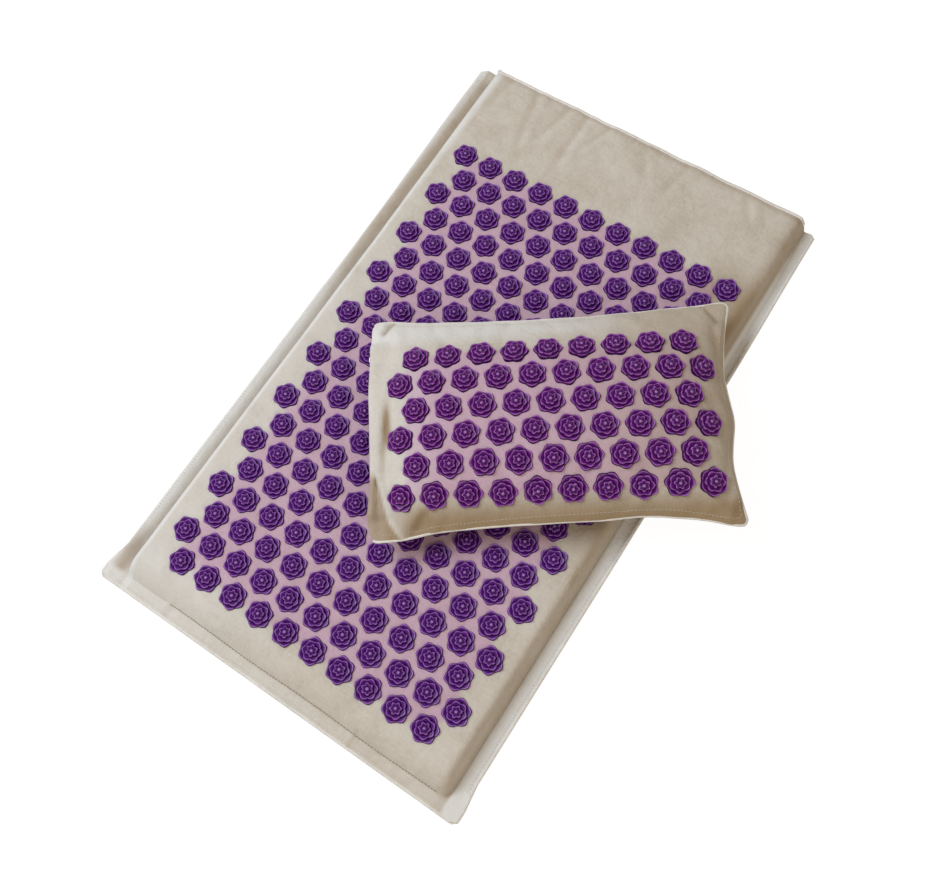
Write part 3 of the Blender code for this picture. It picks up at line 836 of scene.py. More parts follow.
# Mat's cover: flanges that curl up at the sides, rounded walls and the plain far band.
# A ramp is where along the mat something begins and how far it takes to build up
matCover = {
    "sideFlange": 0.023,
    "nearFlange": 0.017,
    "curl": 0.007,
    "curlBend": 2.1,
    "curlDrawIn": 0.007,
    "rightCurlShare": 0.45,
    "cornerCut": 0.005,
    "sideRun": 0.012,
    "sideFall": 2.15,
    "nearRun": 0.026,
    "nearFall": 1.9,
    "farRun": 0.009,
    "farFall": 2.6,
    "shoulderShare": 0.88,
    "hemClear": 0.0042,
    "leftMargin": 0.0355,
    "farMargin": 0.1185,
    "rows": 20,
    "longRow": 11,
    "pitch": 0.0036,
    "edgeWave": 0.0014,
    "edgeLift": 0.0012,
    "leftRoll": 0.0052,
    "rollTurn": 1.3,
    "rollLoss": 0.6,
    "rollRamp": (0.10, 0.22),
    "farLeftSpread": 0.0025,
    "farLeftOpen": 0.003,
    "farLeftRamp": (0.08, 0.26),
    "farRightDraw": 0.003,
    "farRightRamp": (0.15, 0.20),
    "farRightSwell": 0.0055,
    "swellRamp": (-0.02, 0.20),
    "swellEndRamp": (0.27, 0.085),
    "nearRightDraw": 0.004,
    "nearDraw": 0.0028,
    "rightEndBack": 0.0008,
    "leftEndReach": 0.0060,
    "endRound": 0.0045,
    "ripple": 0.0012,
    "broadRelief": 0.0007,
    "fineRelief": 0.00028,
    "underRelief": 0.0003,
    "bounceReach": 0.0335,
    "bounceFade": 0.006,
}
matFolds = [
    ((-0.128, 0.350), (-0.112, 0.275), 0.0055, 0.0017),
    ((-0.088, 0.350), (-0.100, 0.290), 0.0060, 0.0012),
    ((-0.063, 0.350), (-0.062, 0.262), 0.0060, 0.0014),
    ((-0.036, 0.350), (-0.058, 0.292), 0.0050, 0.0013),
    ((0.012, 0.352), (0.030, 0.318), 0.0050, 0.0011),
    ((0.066, 0.350), (0.056, 0.300), 0.0060, 0.0010),
    ((0.140, 0.352), (0.158, 0.322), 0.0055, 0.0011),
    ((-0.165, 0.350), (-0.172, 0.300), 0.0060, 0.0010),
]
nearTucks = [
    ((-0.1381, -0.3335), (-0.1395, -0.3500), 0.0030, 0.0016),
    ((0.0925, -0.3380), (0.0935, -0.3560), 0.0028, 0.0014),
]
endWall = halfLength - cloth["thick"]
nearFoot = matCover["nearFlange"] - halfLength
sideFoot = halfWidth - matCover["sideFlange"]
padRise = padTop - cloth["thick"] - seamHeight
zipHeight = padTop / 2
firstRow = halfLength - matCover["farMargin"]
firstDisc = matCover["leftMargin"] - sideFoot
fieldMiddle = firstDisc + (matCover["longRow"] - 1) * discPitch / 2


def matDiscSpots():
    rows = []
    for row, columns in staggeredRows(matCover["rows"], matCover["longRow"], True):
        rows.append([(fieldMiddle + column * discPitch, firstRow - row * rowPitch)
                     for column in columns])
    return rows


# Stations across: position, side, share of the flange, share of the wall's climb
def acrossFrom(left, middle):
    stations = [(-x, -1, out, climb) for x, out, climb in left]
    stations += [(x, 0, 0.0, 1.0) for x in middle]
    stations += [(x, 1, out, climb) for x, out, climb in reversed(left)]
    return np.array(stations)


# Both cloths of the mat share the stations of their flanges
def sideStations():
    return [(sideFoot + matCover["sideFlange"] * out, out, 0.0) for out in np.linspace(1, 0, 9)]


def nearStations():
    return [(matCover["nearFlange"] * share - halfLength, 0.0, 0.0)
            for share in np.linspace(0, 1, 6)[:-1]]


def matAcross():
    left = sideStations()
    for run in np.linspace(0, 1, 8)[1:]:
        climb = 1 - (1 - run) ** matCover["sideFall"]
        left.append((sideFoot - matCover["sideRun"] * run, 0.0, climb))
    top = sideFoot - matCover["sideRun"]
    count = round(2 * top / matCover["pitch"])
    return acrossFrom(left, np.linspace(-top, top, count + 1)[1:-1])


# Stations along: position, share of the curl that is left there, share of the climb
def matAlong():
    rows = nearStations()
    for run in np.linspace(0, 1, 10):
        climb = 1 - (1 - run) ** matCover["nearFall"]
        rows.append((nearFoot + matCover["nearRun"] * run, run, climb))
    start = nearFoot + matCover["nearRun"]
    end = endWall - matCover["farRun"]
    count = round((end - start) / matCover["pitch"])
    rows += [(y, 1.0, 1.0) for y in np.linspace(start, end, count + 1)[1:-1]]
    for run in np.linspace(0, 1, 6):
        drop = (1 - matCover["shoulderShare"]) * run ** matCover["farFall"]
        rows.append((end + matCover["farRun"] * run, 1.0, 1 - drop))
    return np.array(rows)


# Both cloths of the mat follow this line: it takes a point of the flat cut, with its side,
# how far out it lies on the flange and how far in on the wall, and gives its place and lift
def flangeShape(x, side, out, curlLeft, y, isCorner, inner):
    curl = out ** matCover["curlBend"] * curlLeft
    roll = matCover["leftRoll"] * (1 - matCover["rollLoss"] * ramp(y, *matCover["rollRamp"]))
    rolled = roll * np.sin(math.pi * out / matCover["rollTurn"]) * curlLeft
    lift = np.where(side > 0, matCover["curl"] * matCover["rightCurlShare"] * curl, rolled)
    x = x - side * (matCover["curlDrawIn"] * curl + matCover["cornerCut"] * isCorner)
    farLeft = ramp(y, *matCover["farLeftRamp"]) * (side < 0)
    x = x - farLeft * (matCover["farLeftSpread"] + matCover["farLeftOpen"] * out)
    farRight = ramp(y, *matCover["farRightRamp"]) * (side > 0)
    x = x - farRight * matCover["farRightDraw"] * out
    swell = ramp(y, *matCover["swellRamp"]) * (1 - ramp(y, *matCover["swellEndRamp"]))
    x = x + swell * (side > 0) * matCover["farRightSwell"] * (1 - out) * (1 - inner)
    x = x - matCover["nearRightDraw"] * out * (1 - curlLeft) * (side > 0)
    back = matCover["rightEndBack"] * (0.6 + 0.4 * out) * ease(out * 1.6)
    corner = ramp(out, 0.5, 0.5) * ramp(y, endWall - 0.012, 0.012)
    reach = matCover["leftEndReach"] * (1 - inner ** 3) * (side < 0)
    y = y + ramp(y, endWall - 0.02, 0.02) * np.where(side > 0, back, reach)
    y = y - corner * matCover["endRound"]
    y = y + matCover["nearDraw"] * ramp(y, nearFoot, -matCover["nearFlange"])
    ripple = bumps(x, y, 24.0, 7.0) * matCover["ripple"] * out * curlLeft
    return x, y, lift + np.abs(ripple)


# The outermost point of each near corner is drawn in
def isNearCorner(column, row, columns):
    return (row == 0) & ((column == 0) | (column == columns - 1))


def matTopPlace(across, along, column, row):
    x, side, out, climbAcross = across[column].T
    y, curlLeft, climbAlong = along[row].T
    climb = np.maximum(0, 1 - np.hypot(1 - climbAcross, 1 - climbAlong))
    isCorner = isNearCorner(column, row, len(across))
    x, y, lift = flangeShape(x, side, out, curlLeft, y, isCorner, climbAcross)
    z = seamHeight + lift + padRise * climb
    onPad = ease(climb * 1.6 - 0.5)
    relief = bumps(x, y, 15.0, 1.0) * matCover["broadRelief"]
    relief += bumps(x, y, 60.0, 2.0) * matCover["fineRelief"]
    z = z + onPad * (relief + foldRelief(x, y, matFolds))
    z = z + (1 - onPad) * foldRelief(x, y, nearTucks)
    bow = ramp(y, endWall - 0.05, 0.05)
    y = y + bow * matCover["edgeWave"] * bumps(x, x * 0, 26.0, 5.0)
    z = z + bow * onPad * matCover["edgeLift"] * bumps(x, x * 0, 34.0, 6.0)
    return np.stack([x, y, z], axis=1)


# Painted bounce light: the violet that the discs throw on the cloth between them, from the third
# nearest disc
def discBounceOf(spots, discSpots):
    centres = np.array(discSpots)
    reach = np.linalg.norm(spots[:, None, :2] - centres[None], axis=2)
    third = np.partition(reach, 2, axis=1)[:, 2]
    middle = (centres[:, 0].max() + centres[:, 0].min()) / 2
    spare = centres[:, 0].max() - middle - np.abs(spots[:, 0] - middle)
    inField = ease((spare + matCover["bounceFade"] / 2) / matCover["bounceFade"])
    return ease((matCover["bounceReach"] - third) / matCover["bounceFade"]) * inField


# How pale and how dark the photo shows each part of the mat's top: pale hem bands and painted
# light, painted shade and some random mottle. Out is counted from the foot of the pad's wall, near
# from the near edge; a ramp is its start and its run
matTint = {
    "farRamp": (-0.02, 0.16),
    "cornerRamp": (0.085, -0.05),
    "hemLeft": 0.0085,
    "hemLeftFar": 0.0045,
    "hemRight": 0.0165,
    "hemFade": 0.004,
    "cornerHemLoss": 0.6,
    "litFlangeLeft": 0.65,
    "litFlangeRight": 0.95,
    "nearHem": 0.22,
    "nearHemLoss": 0.8,
    "paintedLightMargin": 0.36,
    "paintedLightCorner": 0.50,
    "crease": 0.22,
    "wall": 0.27,
    "wallFar": 0.10,
    "wallStart": 0.0165,
    "wallStartFar": 0.008,
    "wallEnd": 0.0075,
    "valley": 0.30,
    "valleyFar": 0.18,
    "valleyCorner": 0.30,
    "valleyOut": 0.0035,
    "valleyWidth": 0.0042,
    "farLine": 0.12,
    "farLineRight": 0.14,
    "rightMargin": 0.50,
    "mottle": 0.10,
    "troughs": 0.20,
    "troughDepth": 0.0007,
    "darkest": 0.8,
}
# Painted shade in lines beside the near tucks: place across, how far in from the edge, how dark
tuckLines = [(0.0929, 0.026, 0.35), (-0.1388, 0.022, 0.30)]


# Pale hem bands, and painted light: on the left pad's edge, on both flanges, though the pad shades
# the right one, and on a cool margin and corner at the left and near side
def paleHemAndLightOnMat(x, y, out, near, farShare, cornerShare):
    left = x < 0
    hemStart = np.where(left, matTint["hemLeft"] + matTint["hemLeftFar"] * farShare,
                        matTint["hemRight"])
    hem = ramp(out, hemStart, matTint["hemFade"])
    hem *= 1 - matTint["cornerHemLoss"] * left * cornerShare * ramp(out, 0.018, -0.003)
    litPadEdge = ramp(out, -0.0125, 0.003) * ramp(out, 0, -0.004) * left
    flange = np.where(left, matTint["litFlangeLeft"] * (1 - farShare), matTint["litFlangeRight"])
    flange = flange * ramp(out, 0.0005, 0.002)
    nearHem = matTint["nearHem"] * ramp(near, matCover["nearFlange"] + 0.001, -0.003)
    nearHem *= 1 - matTint["nearHemLoss"] * ramp(x, 0, 0.1)
    paintedLightMargin = matTint["paintedLightMargin"] * ramp(x, -0.140, -0.03) * ramp(y, 0.26, -0.30)
    paintedLightCorner = matTint["paintedLightCorner"] * ramp(near, 0.075, -0.02) * ramp(x, 0.02, -0.2)
    pale = np.maximum.reduce([hem, litPadEdge, flange, nearHem, paintedLightMargin, paintedLightCorner])
    return np.clip(pale, 0, 1)


# Painted shade: in the right crease and on the right wall, in the left valley, inside the far edge,
# on the right margin, in the fold troughs and beside the tucks; with random mottle
def darkOnMat(x, y, out, near, onTop, farShare, cornerShare):
    right = x > 0
    crease = ridge(out, -0.0004, 0.0016) * matTint["crease"] * right * ~onTop
    wallStart = matTint["wallStart"] + matTint["wallStartFar"] * farShare
    wall = ramp(out, -wallStart, wallStart - matTint["wallEnd"]) * ramp(out, 0.0005, -0.001)
    wall *= (matTint["wall"] + matTint["wallFar"] * farShare) * right
    spread = 0.004 * farShare + 0.005 * cornerShare
    valley = ridge(out, matTint["valleyOut"] + spread, matTint["valleyWidth"] + spread)
    valley *= (matTint["valley"] + matTint["valleyFar"] * farShare
               + matTint["valleyCorner"] * cornerShare)
    valley *= ramp(y, endWall - 0.004, -0.012) * (x < 0)
    farLine = ridge(y, endWall - 0.005, 0.003) * onTop
    farLine *= matTint["farLine"] + matTint["farLineRight"] * right
    margin = ramp(x, 0.13, 0.03) * ramp(y, firstRow + 0.05, -0.06) * ramp(y, -0.14, 0.12)
    margin *= matTint["rightMargin"] * ramp(out, 0, -0.012)
    mottle = ramp(bumps(x, y, 42.0, 31.0), 0.12, 0.4) * onTop * matTint["mottle"]
    troughs = np.clip(-foldRelief(x, y, matFolds) / matTint["troughDepth"], 0, 1)
    dark = crease + wall + valley + farLine + margin + mottle + troughs * onTop * matTint["troughs"]
    dark *= ramp(near, matCover["nearFlange"] - 0.002, 0.004)
    for across, reach, tint in tuckLines:
        dark += ridge(x, across, 0.0022) * ramp(near, reach, -0.006) * tint
    return np.clip(dark, 0, matTint["darkest"])


def matTints(spots):
    x, y, z = spots.T
    out = np.abs(x) - sideFoot
    near = y + halfLength
    farShare = ramp(y, *matTint["farRamp"])
    cornerShare = ramp(near, *matTint["cornerRamp"])
    pale = paleHemAndLightOnMat(x, y, out, near, farShare, cornerShare)
    return pale, darkOnMat(x, y, out, near, z > padTop * 0.8, farShare, cornerShare)


def buildMatTop(linen):
    across = matAcross()
    along = matAlong()
    hemLow = zipHeight + matCover["hemClear"]
    hemDrop = seamHeight + padRise * matCover["shoulderShare"] - hemLow
    hemShares = np.array((0.0, 1 / 3, 2 / 3, 1.0))

    # Past the last station the far wall's hem hangs straight down, and stops above the zip
    def place(column, row):
        body = np.minimum(row, len(along) - 1)
        laid = matTopPlace(across, along, column, body)
        climb = across[column][:, 3]
        laid[:, 2] -= hemDrop * hemShares[row - body] * climb
        hangs = (climb > 0.99) & (row > body)
        laid[:, 2] = np.maximum(laid[:, 2], np.where(hangs, hemLow, 0))
        return laid

    piece, grid = layCloth("matTopCover", len(across), len(along) + len(hemShares) - 1, place)
    mergeDoubles(piece)
    spots = spotsOf(piece.data)
    pale, dark = matTints(spots)
    discSpots = [spot for row in matDiscSpots() for spot in row]
    pointAttributes(piece, blush=discBounceOf(spots, discSpots), pale=pale, shade=dark)
    thickenCloth(piece, cloth["thick"])
    smoothBy(piece)
    finishPiece(piece, linen, "linen", "mat", "mat_top_cover")
    return piece, grid


def buildMatBottom(linen):
    left = sideStations()
    left.append((sideFoot - matCover["sideRun"] * 0.33, 0.0, 0.0))
    left.append((sideFoot - matCover["sideRun"] * 0.75, 0.0, 0.5))
    top = sideFoot - matCover["sideRun"]
    across = acrossFrom(left, np.linspace(-top, top, 61))
    start = nearFoot + matCover["nearRun"]
    rows = nearStations()
    rows += [(nearFoot + matCover["nearRun"] * run, run, 0.0) for run in np.linspace(0, 1, 8)]
    rows += [(y, 1.0, 0.0) for y in np.linspace(start, endWall, 90)[1:]]
    rows += [(endWall, 1.0, share) for share in (0.34, 0.67, 1.0)]
    along = np.array(rows)
    hemRise = zipHeight - matCover["hemClear"] - cloth["thick"]

    def place(column, row):
        x, side, out, hem = across[column].T
        y, curlLeft, climb = along[row].T
        isCorner = isNearCorner(column, row, len(across))
        x, y, lift = flangeShape(x, side, out, curlLeft, y, isCorner, hem)
        z = cloth["thick"] + lift + hemRise * climb * hem
        under = bumps(x, y, 22.0, 9.0) * matCover["underRelief"] * (out == 0) * (climb == 0)
        return np.stack([x, y, z + np.abs(under)], axis=1)

    piece = layCloth("matBottomCover", len(across), len(along), place, False)[0]
    mergeDoubles(piece)
    plain = np.zeros(len(piece.data.vertices))
    pointAttributes(piece, blush=plain, pale=plain, shade=plain)
    thickenCloth(piece, cloth["thick"])
    smoothBy(piece)
    finishPiece(piece, linen, "linen", "mat", "mat_bottom_cover")


# Foam pad inside the mat: a slab with rounded edges, a little hollowed by use
matFoam = {
    "cornerRadius": 0.015,
    "edgeRadius": 0.007,
    "bevelSteps": 5,
    "slack": 0.0012,
    "sag": 0.0004,
    "cutsAlong": 22,
    "cutsAcross": 13,
}


def buildMatCore(foam):
    selectOnly()
    bpy.ops.mesh.primitive_cube_add(size=1, location=(coreLow + coreHigh) / 2)
    piece = newPiece("matFoamCore")
    piece.scale = coreHigh - coreLow - Vector((0, 0, matFoam["slack"]))
    piece.location.z -= matFoam["slack"] / 2
    bakePlace(piece)
    startEdit(piece, 'EDGE')
    for radius, isUpright in ((matFoam["cornerRadius"], True), (matFoam["edgeRadius"], False)):
        bpy.ops.mesh.select_all(action='DESELECT')
        shell = bmesh.from_edit_mesh(piece.data)
        top = max(vertex.co.z for vertex in shell.verts)
        for edge in shell.edges:
            first, second = [vertex.co for vertex in edge.verts]
            upright = abs(first.z - second.z) > matFoam["cornerRadius"] / 2
            rim = min(first.z, second.z) > top - cloth["gap"]
            edge.select = upright if isUpright else rim
        shell.select_flush_mode()
        bpy.ops.mesh.bevel(offset=radius, segments=matFoam["bevelSteps"], profile=0.5,
                           affect='EDGES')
    bpy.ops.mesh.select_all(action='SELECT')
    bpy.ops.mesh.quads_convert_to_tris()
    for k, cuts in ((1, matFoam["cutsAlong"]), (0, matFoam["cutsAcross"])):
        axis = Vector((1 - k, k, 0))
        cutAcross(axis, np.linspace(coreLow[k], coreHigh[k], cuts + 2)[1:-1])
    endEdit()
    spots = spotsOf(piece.data)
    onTop = spots[:, 2] > spots[:, 2].max() - cloth["gap"]
    settle = bumps(spots[:, 0], spots[:, 1], 12.0, 11.0) * matFoam["sag"]
    spots[:, 2] -= np.abs(settle) * onTop
    moveTo(piece.data, spots)
    smoothBy(piece, 40)
    finishPiece(piece, foam, "foam", "mat", "mat_core")


# A rounded hem swept along a line of points, as a flattened tube
def sweepHem(name, line, halfWide, halfHigh, sides=8):
    line = np.array(line)
    count = len(line)
    ahead = np.roll(line, -1, axis=0) - np.roll(line, 1, axis=0)
    ahead[0] = line[1] - line[0]
    ahead[-1] = line[-1] - line[-2]
    ahead /= np.linalg.norm(ahead, axis=1)[:, None]
    sideways = np.cross(ahead, np.array(upwards))
    sideways /= np.linalg.norm(sideways, axis=1)[:, None]
    upward = np.cross(sideways, ahead)
    points = []
    for spot, across, over in zip(line, sideways, upward):
        for step in range(sides):
            angle = step / sides * 2 * math.pi
            points.append(spot + across * halfWide * math.cos(angle)
                          + over * halfHigh * math.sin(angle))
    faces = []
    for start in range(0, (count - 1) * sides, sides):
        for step in range(sides):
            turn = (step + 1) % sides
            faces.append((start + step, start + turn, start + sides + turn,
                          start + sides + step))
    faces.append(tuple(range(sides)))
    faces.append(tuple((count - 1) * sides + step for step in reversed(range(sides))))
    mesh = bpy.data.meshes.new(name)
    mesh.from_pydata([tuple(point) for point in points], [], faces)
    layer = mesh.uv_layers.new(name="UVMap")
    run = runAlong(line)
    for loop in mesh.loops:
        ring, step = divmod(loop.vertex_index, sides)
        layer.data[loop.index].uv = (run[ring], step * halfWide * 6 / sides)
    piece = linkNew(name, mesh)
    startEdit(piece)
    bpy.ops.mesh.normals_make_consistent(inside=False)
    endEdit()
    smoothBy(piece, 70)
    return piece


# One stitch: a short thread that dives into the cloth at both ends
def modelStitch(length, thick):
    selectOnly()
    bpy.ops.mesh.primitive_cylinder_add(vertices=5, radius=thick / 2, depth=length,
                                        rotation=(0, math.pi / 2, 0), end_fill_type='NGON')
    piece = newPiece("stitchMaster")
    bakePlace(piece)
    startEdit(piece)
    cutAcross(Vector((1, 0, 0)), (-length * 0.3, length * 0.3))
    shell = bmesh.from_edit_mesh(piece.data)
    selectThese(shell, [vertex for vertex in shell.verts if abs(vertex.co.x) > length * 0.45])
    bpy.ops.transform.resize(value=(1, 0.6, 0.6), center_override=(0, 0, 0))
    bpy.ops.transform.translate(value=(0, 0, -thick * 0.9))
    endEdit()
    return piece


# Points spread evenly along a line, about one pitch apart
def evenly(line, pitch):
    line = np.array(line)
    run = runAlong(line)
    count = max(2, int(run[-1] / pitch))
    stops = (np.arange(count) + 0.5) * run[-1] / count
    return np.stack([np.interp(stops, run, line[:, k]) for k in range(3)], axis=1)


# Welts and stitches; the pillow's line of stitches is two shares of its plan and a lift
sewing = {
    "weltWide": 0.0019,
    "weltHigh": 0.0013,
    "weltInset": 0.0004,
    "farWelt": 0.0020,
    "stitch": 0.0028,
    "pitch": 0.0036,
    "thread": 0.0005,
    "creaseStitch": 0.0034,
    "creaseThread": 0.00075,
    "sink": 0.3,
    "searchAbove": 0.012,
    "searchWithin": 0.02,
    "pillowWeltWide": 0.0018,
    "pillowWeltHigh": 0.0012,
    "pillowLine": (0.972, 0.955, 0.004),
}


# Stitches along a line, each laid on the cloth under it
def sewLine(name, line, tree, thread, body, length=sewing["stitch"], thick=sewing["thread"]):
    spots = evenly(line, sewing["pitch"])
    places = []
    for before, spot, after in zip(np.roll(spots, 1, axis=0), spots, np.roll(spots, -1, axis=0)):
        spot = Vector(spot)
        ahead = Vector(after - before)
        if ahead.length > 3 * sewing["pitch"]:  # the line's first and last point
            continue
        hit, normal = tree.ray_cast(spot + upwards * sewing["searchAbove"], downwards)[:2]
        if hit is None or (hit - spot).length > sewing["searchWithin"]:
            continue
        if normal.z < 0:
            normal = -normal
        along = (ahead - normal * ahead.dot(normal)).normalized()
        across = normal.cross(along)
        turn = Matrix((along, across, normal)).transposed().to_4x4()
        places.append(Matrix.Translation(hit + normal * thick * sewing["sink"]) @ turn)
    master = modelStitch(length, thick)
    piece = repeatPiece(name, master, places)
    bpy.data.objects.remove(master)
    smoothBy(piece, 50)
    finishPiece(piece, thread, "linen", body)


# Pillow in its own frame: u along from the left end, v across from the near side, both
# from -1 to 1
pillow = {
    "turn": math.radians(34.9),
    "placeShares": (0.42, 0.031),
    "rows": 6,
    "longRow": 10,
    "endMargin": 0.030,
    "sideMargin": 0.044,
    "crown": 0.033,
    "belly": 0.0265,
    "fieldShift": 0.007,
    "farDrawIn": 0.007,
    "nearDrawIn": 0.012,
    "rightDrawIn": 0.006,
    "endHem": 0.006,
    "fullness": 0.2,
    "bellyFullness": 1.6,
    "endFall": 5.0,
    "endRound": 0.75,
    "sideFall": 3.0,
    "sideRound": 0.8,
    "zipShare": 0.74,
    "zipNearShare": 0.80,
    "hemCloseShare": 0.06,
    "pitch": 0.0056,
    "edgeCrowding": 1.12,
    "cornerRadius": 0.009,
    "waveFade": 8,
    "seamWave": 0.0012,
    "seamWaveScale": 25.0,
    "rumple": 0.0007,
}
# Waves of the pillow's sewn edges, outwards: share of the way along the edge, distance
pillowWaves = {
    "right": [(-1, 0), (-0.75, -0.002), (-0.47, -0.0052), (-0.12, 0.0036), (0.31, -0.0032),
              (0.62, -0.001), (0.86, 0.003), (1, 0.0055)],
    "near": [(-1, 0), (-0.9, 0.0022), (-0.79, 0.003), (-0.7, 0), (-0.55, 0.001), (0.2, 0),
             (0.44, -0.0036), (0.62, -0.0048), (0.83, -0.002), (0.95, 0.0012), (1, 0)],
    "left": [(-1, 0), (-0.88, 0.0026), (-0.7, 0.001), (-0.5, -0.0006), (0.1, 0.0008),
             (0.3, 0.0018), (0.6, 0), (1, 0)],
    "far": [(-1, 0), (-0.9, 0.0022), (-0.7, 0), (0.9, 0), (1, 0.0012)],
}
pillowHalfLong = (pillow["longRow"] - 1) * discPitch / 2 + pillow["endMargin"]
pillowHalfWide = (pillow["rows"] - 1) * rowPitch / 2 + pillow["sideMargin"]
pillowSeam = (padTop + disc["height"] + cloth["gap"] + cloth["thick"] + pillow["belly"]
              + cloth["gap"] / 2)
pillowPlace = (Matrix.Translation((halfWidth * pillow["placeShares"][0],
                                   halfLength * pillow["placeShares"][1], pillowSeam))
               @ Matrix.Rotation(pillow["turn"], 4, 'Z'))


def endShape(u):
    return np.maximum(0.0, 1 - np.abs(u) ** pillow["endFall"]) ** pillow["endRound"]


def sideShape(v):
    return np.maximum(0.0, 1 - np.abs(v) ** pillow["sideFall"]) ** pillow["sideRound"]


def crownHeight(u, v, drop=0.0):
    full = (pillow["crown"] - drop) * (1 + pillow["fullness"] * u)
    return full * endShape(u) * sideShape(v)


def bellyDepth(u, v, drop=0.0):
    full = pillow["belly"] - drop
    return full * np.minimum(1.0, pillow["bellyFullness"] * endShape(u) * sideShape(v))


# The upper half's height or the lower half's depth, less what lies over a filling piece
def swellOf(sign, u, v, drop):
    return crownHeight(u, v, drop) if sign > 0 else bellyDepth(u, v, drop)


def edgeWave(side, share):
    shares, reaches = zip(*pillowWaves[side])
    dense = np.linspace(-1, 1, 201)
    smooth = np.convolve(np.pad(np.interp(dense, shares, reaches), 8, 'edge'), np.ones(17) / 17,
                         'valid')
    return np.interp(share, dense, smooth)


def pillowPlan(u, v, halfLong=pillowHalfLong, halfWide=pillowHalfWide):
    drawEnd = np.where(u > 0, pillow["rightDrawIn"], 0.0)
    drawSide = np.where(v > 0, pillow["farDrawIn"], pillow["nearDrawIn"])
    along = u * (halfLong - drawEnd * (1 - v * v))
    across = v * (halfWide - drawSide * (1 - u * u))
    radius = pillow["cornerRadius"]
    overLong = np.maximum(0, np.abs(along) - (halfLong - radius))
    overWide = np.maximum(0, np.abs(across) - (halfWide - radius))
    reach = np.maximum(np.hypot(overLong, overWide), radius)
    along = along - np.sign(along) * overLong * (1 - radius / reach)
    across = across - np.sign(across) * overWide * (1 - radius / reach)
    fade = pillow["waveFade"]
    along = along + edgeWave("right", v) * np.maximum(u, 0) ** fade
    along = along - edgeWave("left", v) * np.maximum(-u, 0) ** fade
    across = across + edgeWave("far", u) * np.maximum(v, 0) ** fade
    across = across - edgeWave("near", u) * np.maximum(-v, 0) ** fade
    return along, across


# Small waves that the cover and its welt share
def seamWave(along, across):
    return pillow["seamWave"] * bumps(along, across, pillow["seamWaveScale"], 12.0)


def crownPoint(along, across):
    u = along / pillowHalfLong
    drawSide = pillow["farDrawIn"] if across > 0 else pillow["nearDrawIn"]
    v = across / (pillowHalfWide - drawSide * (1 - u * u))
    height = float(crownHeight(u, v)) + cloth["gap"] / 2 + cloth["thick"]
    return Vector((along, across, height))


# A distance along the crowned cloth is walked in steps, as a row of discs is laid on it
def walkCrown(distance, direction, steps=200):
    stride = distance / steps
    position = 0.0
    for step in range(steps):
        here = crownPoint(*(direction * position))
        ahead = crownPoint(*(direction * (position + stride)))
        flat = (ahead - here).xy.length
        if flat:
            position += stride * flat / (ahead - here).length
    return position


def pillowDiscSpots():
    rows = []
    for row, columns in staggeredRows(pillow["rows"], pillow["longRow"], False):
        across = walkCrown(((pillow["rows"] - 1) / 2 - row) * rowPitch, Vector((0, 1)))
        across -= pillow["fieldShift"]
        rows.append([(walkCrown(column * discPitch, Vector((1, 0))), across)
                     for column in columns])
    return rows


# Dents and folds that the photo shows on the pillow's top: middle u, middle v, reach u,
# reach v, depth, how much painted shade
pillowDents = [
    (-0.905, 0.0, 0.022, 0.16, 0.0045, 0.80),
    (-0.895, -0.12, 0.020, 0.10, 0.0010, 0.35),
    (-0.925, -0.26, 0.016, 0.22, 0.0022, 0.30),
    (-0.72, -0.90, 0.035, 0.06, 0.0030, 0.30),
    (-0.55, -0.93, 0.030, 0.05, -0.0015, 0.0),
    (0.93, 0.55, 0.035, 0.25, 0.0020, 0.10),
    (0.955, -0.20, 0.020, 0.30, 0.0015, 0.15),
    (0.12, -0.88, 0.100, 0.05, -0.0015, 0.0),
    (-0.22, 0.93, 0.020, 0.06, 0.0018, 0.15),
    (-0.02, 0.93, 0.018, 0.06, 0.0018, 0.15),
    (0.20, 0.93, 0.020, 0.05, 0.0014, 0.10),
]
# Creases: start, end, half width in metres, depth, how much painted shade
pillowCreases = [
    ((-0.870, 1.00), (-0.925, 0.88), 0.0030, 0.0030, 0.60),
    ((-0.915, 1.00), (-0.960, 0.90), 0.0030, -0.0015, 0.0),
    ((-0.700, -0.80), (-0.770, -0.97), 0.0040, 0.0025, 0.35),
    ((-0.620, -0.80), (-0.660, -0.97), 0.0040, -0.0012, 0.0),
    ((0.880, 0.97), (0.945, 0.80), 0.0025, 0.0020, 0.30),
    ((0.905, -0.97), (0.930, -0.80), 0.0035, -0.0012, 0.0),
]
# The trough beside the zip: its inner edge as u, v
pillowTrough = [(-0.975, -0.40), (-0.950, -0.55), (-0.925, -0.70), (-0.900, -0.86),
                (-0.845, -0.99)]
# Painted shade on the pillow's near side, right end, trough and dents, painted light at its left
# end and far edge, and how much of the discs' painted bounce light is lost to the right
pillowShade = {
    "near": 0.86,
    "nearRamp": (-0.60, -0.30),
    "right": 0.36,
    "rightRamp": (-0.3, 1.3),
    "trough": 0.66,
    "troughRamp": (-0.40, -0.12),
    "troughSink": 0.004,
    "troughEdge": 0.0035,
    "lip": 0.0008,
    "dents": 1.5,
    "darkest": 0.85,
    "bounceLoss": 0.5,
    "paintedLightEnd": 0.28,
    "paintedLightFar": 0.85,
}


